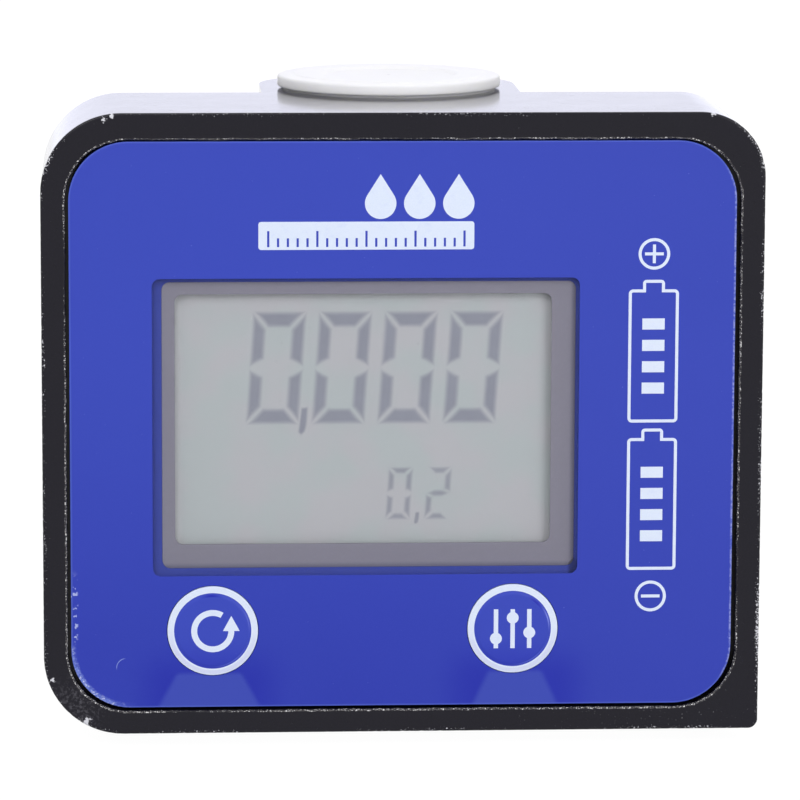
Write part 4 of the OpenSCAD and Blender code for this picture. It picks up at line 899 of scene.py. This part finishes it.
# Depths behind the face: the commas lie just over the digit beside them
DIGIT_DEPTH, COMMA_DEPTH = 2.92, 2.912
# Digits in shares of the seen display: X, the step to the next, Z, width, height, upright and level stroke
BIG = (0.19, 0.1747, 0.4765, 0.138, 0.445, 0.0338, 0.0582)
SMALL = (0.5616, 0.1041, 0.0898, 0.0627, 0.2065, 0.0149)
# Commas: X, Z, width and height
COMMAS = ((0.326, 0.427, 0.024, 0.118), (0.6363, 0.067, 0.0145, 0.052))


def make_segments():
    """The display's numbers as thin sheets whose rims fade, by the attribute soft."""
    runs = []
    x, step, z, w, h, v, b = BIG
    for k in range(4):
        at = (VIEW_X + (x + k * step) * VIEW_W - BLUR, VIEW_Z + z * VIEW_H - BLUR)
        strokes = digit_strokes(w * VIEW_W + 2 * BLUR, h * VIEW_H + 2 * BLUR,
                                v * VIEW_W + 2 * BLUR, b * VIEW_H + 2 * BLUR, ZERO)
        runs += [(at, s, STROKE_FADE, DIGIT_DEPTH) for s in strokes]
    x, step, z, w, h, v = SMALL
    for k, lit in enumerate((ZERO, TWO)):
        at = (VIEW_X + (x + k * step) * VIEW_W - SMALL_BLUR, VIEW_Z + z * VIEW_H - SMALL_BLUR)
        wide = v * VIEW_W + 2 * SMALL_BLUR
        strokes = digit_strokes(w * VIEW_W + 2 * SMALL_BLUR, h * VIEW_H + 2 * SMALL_BLUR, wide, wide, lit)
        runs += [(at, s, STROKE_FADE, DIGIT_DEPTH) for s in strokes]
    for x, z, w, h in COMMAS:
        w, h = w * VIEW_W, h * VIEW_H
        comma = [(0, h * 0.12), (w * 0.4, 0), (w * 0.85, h * 0.14), (w, h * 0.4), (w, h), (w * 0.15, h * 0.96)]
        runs.append(((VIEW_X + x * VIEW_W, VIEW_Z + z * VIEW_H), comma, COMMA_FADE, COMMA_DEPTH))
    bm = bmesh.new()
    soft = bm.verts.layers.float.new("soft")
    for (x, z), points, share_of_width, depth in runs:
        leaned = [(x + p[0] + p[1] * LEAN, z + p[1]) for p in points]
        span = min(max(p[0] for p in points) - min(p[0] for p in points),
                   max(p[1] for p in points) - min(p[1] for p in points))
        fade = min(MOST_FADE, share_of_width * span)
        full = 1.0 if span > 1 else 0.85
        # how far each ring lies outside the outline, and how dark it is
        fades = ((0.055, 0.0), (-fade * 0.25, 0.3 * full), (-fade * 0.6, 0.7 * full), (-fade, full))
        rings = skin(bm, [[(p.x, FRONT_Y + depth, p.y) for p in offset(leaned, grow)] for grow, _ in fades])
        for ring, (_, share) in zip(rings, fades):
            for v in ring:
                v[soft] = share
        bm.faces.new(rings[-1])
    thicken(bm)
    add_piece("segments", bm, SEGMENTS, "meter", ("display_digits",))


make_segments()


# Port plugs


def make_plug(name, body, z, up):
    """A moulded cap: a rim with a raised edge and a shallow dish, and a skirt that fits the port."""
    bm = bmesh.new()
    # radii, and heights over the end of the tube
    rim_r, skirt_r, hollow_r = 14.42, 13.71, 12.51
    dish, edge, rim_top, rim_mid, rim_low, skirt_low, hollow_top = 1.6, 1.95, 1.8, 0.8, 0.36, -3.15, 0.45
    top = fillet([(0, dish), (8.3, dish), (8.95, edge), (12.1, edge), (12.4, rim_top), (rim_r, rim_top),
                  (rim_r, rim_mid)], 0.62, 6)
    under = fillet([(rim_r, rim_mid), (rim_r, rim_low), (skirt_r, rim_low), (skirt_r, skirt_low),
                    (hollow_r, skirt_low), (hollow_r, hollow_top), (0, hollow_top)], 0.15, 3)
    lathe(bm, [tuple(p) for p in top + under[1:]], 160)
    # the pip at the middle of the dish
    pip_r, pip_h = 0.8, 0.1
    for v in bm.verts:
        r = v.co.xy.length
        if r < pip_r and v.co.z > 1:
            v.co.z += pip_h * (1 - r / pip_r)
    flip = Matrix.Translation((0, 0, z)) @ (Matrix.Identity(4) if up else Matrix.Rotation(math.pi, 4, "X"))
    bmesh.ops.transform(bm, matrix=flip, verts=bm.verts)
    add_piece(name + "_moulding", bm, PLUG, body, (name,), 40.0)


make_plug("outlet_plug", "outlet_cover", TUBE_HIGH, True)
make_plug("inlet_plug", "inlet_cover", TUBE_LOW, False)


# Battery spring


def make_spring():
    low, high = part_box("battery_spring")
    cx, cy = (low.x + high.x) / 2 / MM, (low.y + high.y) / 2 / MM
    z0, z1 = low.z / MM, high.z / MM
    # radii of wire and coil, turns, steps in a turn and round the wire
    wire, coil, turns, per_turn, around = 0.4, 3.6, 5.0, 40, 10
    steps = int(turns * per_turn)
    centres = []
    for k in range(steps + 1):
        t = k / steps
        # the first and last turns lie flat
        eased = min(max((t * turns - 0.9) / (turns - 1.8), 0.0), 1.0)
        z = z0 + wire + (z1 - z0 - 2 * wire) * eased
        a = 2 * math.pi * turns * t
        centres.append(Vector((cx + coil * math.cos(a), cy + coil * math.sin(a), z)))
    bm = bmesh.new()
    rings = []
    for k, c in enumerate(centres):
        ahead = (centres[min(k + 1, steps)] - centres[max(k - 1, 0)]).normalized()
        out = Vector((c.x - cx, c.y - cy, 0)).normalized()
        up = ahead.cross(out).normalized()
        rings.append([c + wire * (math.cos(b) * out + math.sin(b) * up)
                      for b in (2 * math.pi * j / around for j in range(around))])
    rings = skin(bm, rings)
    for end in (rings[0], rings[-1]):
        bm.faces.new(end)
    add_piece("spring_coil", bm, FINISHES["bright_steel"], "battery_stack", ("battery_spring",))


make_spring()


# Softer edges on CAD nodes whose shape is right


def soften(width, nodes):
    """Gives some CAD nodes a small bevel."""
    for name in nodes:
        obj = NODES[name]
        weld = obj.modifiers.new("weld", "WELD")
        weld.merge_threshold = 1e-6
        edge = obj.modifiers.new("edge", "BEVEL")
        edge.width = width * MM
        edge.segments = 2
        edge.limit_method = "ANGLE"
        edge.angle_limit = math.radians(40)
        edge.harden_normals = True


soften(0.15, ("cover_screws", "display_bezel", "inlet_support", "outlet_support", "turbine_rotor"))
soften(0.06, ("front_label", "retaining_ring"))


# Floor, camera and lights


def seen_rays(tree):
    """1 for rays from the camera, from mirrors and through glass."""
    rays = tree.nodes.new("ShaderNodeLightPath").outputs
    out = rays["Is Camera Ray"]
    for name in ("Is Glossy Ray", "Is Transmission Ray"):
        node = tree.nodes.new("ShaderNodeMath")
        node.operation = "MAXIMUM"
        tree.links.new(out, node.inputs[0])
        tree.links.new(rays[name], node.inputs[1])
        out = node.outputs[0]
    return out


def make_floor():
    """A pale floor that the camera and mirrors see as nearly white, and that keeps the meter's shadow."""
    bm = bmesh.new()
    bmesh.ops.create_grid(bm, x_segments=8, y_segments=8, size=8)
    mesh = bpy.data.meshes.new("floor")
    bm.to_mesh(mesh)
    bm.free()
    floor = add_object("floor", mesh)
    floor.location.z = (FLOOR_Z - 0.02) * MM
    g = Graph("pale_floor")
    g.finish(color=g.blend(g.noise(40.0), (0.29, 0.29, 0.3), (0.33, 0.33, 0.34)), roughness=0.8)
    glow = g.add("ShaderNodeEmission")
    g.put(glow.inputs["Strength"], 1.3)
    g.mix(g.math("MULTIPLY", seen_rays(g.tree), 0.75), g.shader, glow)
    mesh.materials.append(g.mat)


def make_world():
    """Soft light from all round, and white for the camera and mirrors."""
    world = bpy.data.worlds.new("studio")
    bpy.context.scene.world = world
    world.use_nodes = True
    tree = world.node_tree
    tree.nodes.clear()
    out = tree.nodes.new("ShaderNodeOutputWorld")
    light, white = (tree.nodes.new("ShaderNodeBackground") for _ in range(2))
    light.inputs["Color"].default_value = (0.98, 0.98, 1.0, 1)
    light.inputs["Strength"].default_value = 0.55
    white.inputs["Color"].default_value = (1, 1, 1, 1)
    mixer = tree.nodes.new("ShaderNodeMixShader")
    for socket, value in zip(mixer.inputs, (seen_rays(tree), light.outputs[0], white.outputs[0])):
        tree.links.new(value, socket)
    tree.links.new(mixer.outputs[0], out.inputs[0])


def add_lamp(name, place, target, size, power, color=(0.98, 0.98, 1.0)):
    """A square lamp that faces a target."""
    data = bpy.data.lights.new(name, "AREA")
    data.size = size
    data.energy = power
    data.color = color
    lamp = add_object(name, data)
    place, target = Vector(place), Vector(target)
    lamp.location = place
    lamp.rotation_euler = (target - place).to_track_quat("-Z", "Y").to_euler()


def make_camera():
    """The photograph's view, in metres and radians."""
    yaw, pitch, roll = -0.0577, 0.1631, 0.0038
    place, lens = (-0.03489, -0.6325, 0.13787), 220.4
    back = Vector((math.sin(yaw) * math.cos(pitch), -math.cos(yaw) * math.cos(pitch), math.sin(pitch)))
    side = Vector((math.cos(yaw), math.sin(yaw), 0))
    up = back.cross(side)
    right = math.cos(roll) * side + math.sin(roll) * up
    top = -math.sin(roll) * side + math.cos(roll) * up
    data = bpy.data.cameras.new("camera")
    data.sensor_width = 36
    data.lens = lens
    data.clip_start = 0.01
    camera = add_object("camera", data)
    turn = Matrix((right, top, back)).transposed().to_4x4()
    camera.matrix_world = Matrix.Translation(place) @ turn
    bpy.context.scene.camera = camera


make_floor()
make_world()
make_camera()
# Lamps in metres and watts: place, target, size and power
MIDDLE = (0, -0.02, 0.035)
add_lamp("key", (-0.35, -0.95, 0.8), MIDDLE, 0.7, 6.2)
add_lamp("fill", (0.6, -0.9, 0.3), MIDDLE, 0.7, 4.3)
add_lamp("back", (0.1, 0.9, 0.85), MIDDLE, 0.8, 1.7)
add_lamp("low", (0.0, 1.3, 0.3), MIDDLE, 0.9, 1.05, (0.52, 0.55, 1.0))
bpy.context.scene.view_settings.view_transform = "Standard"
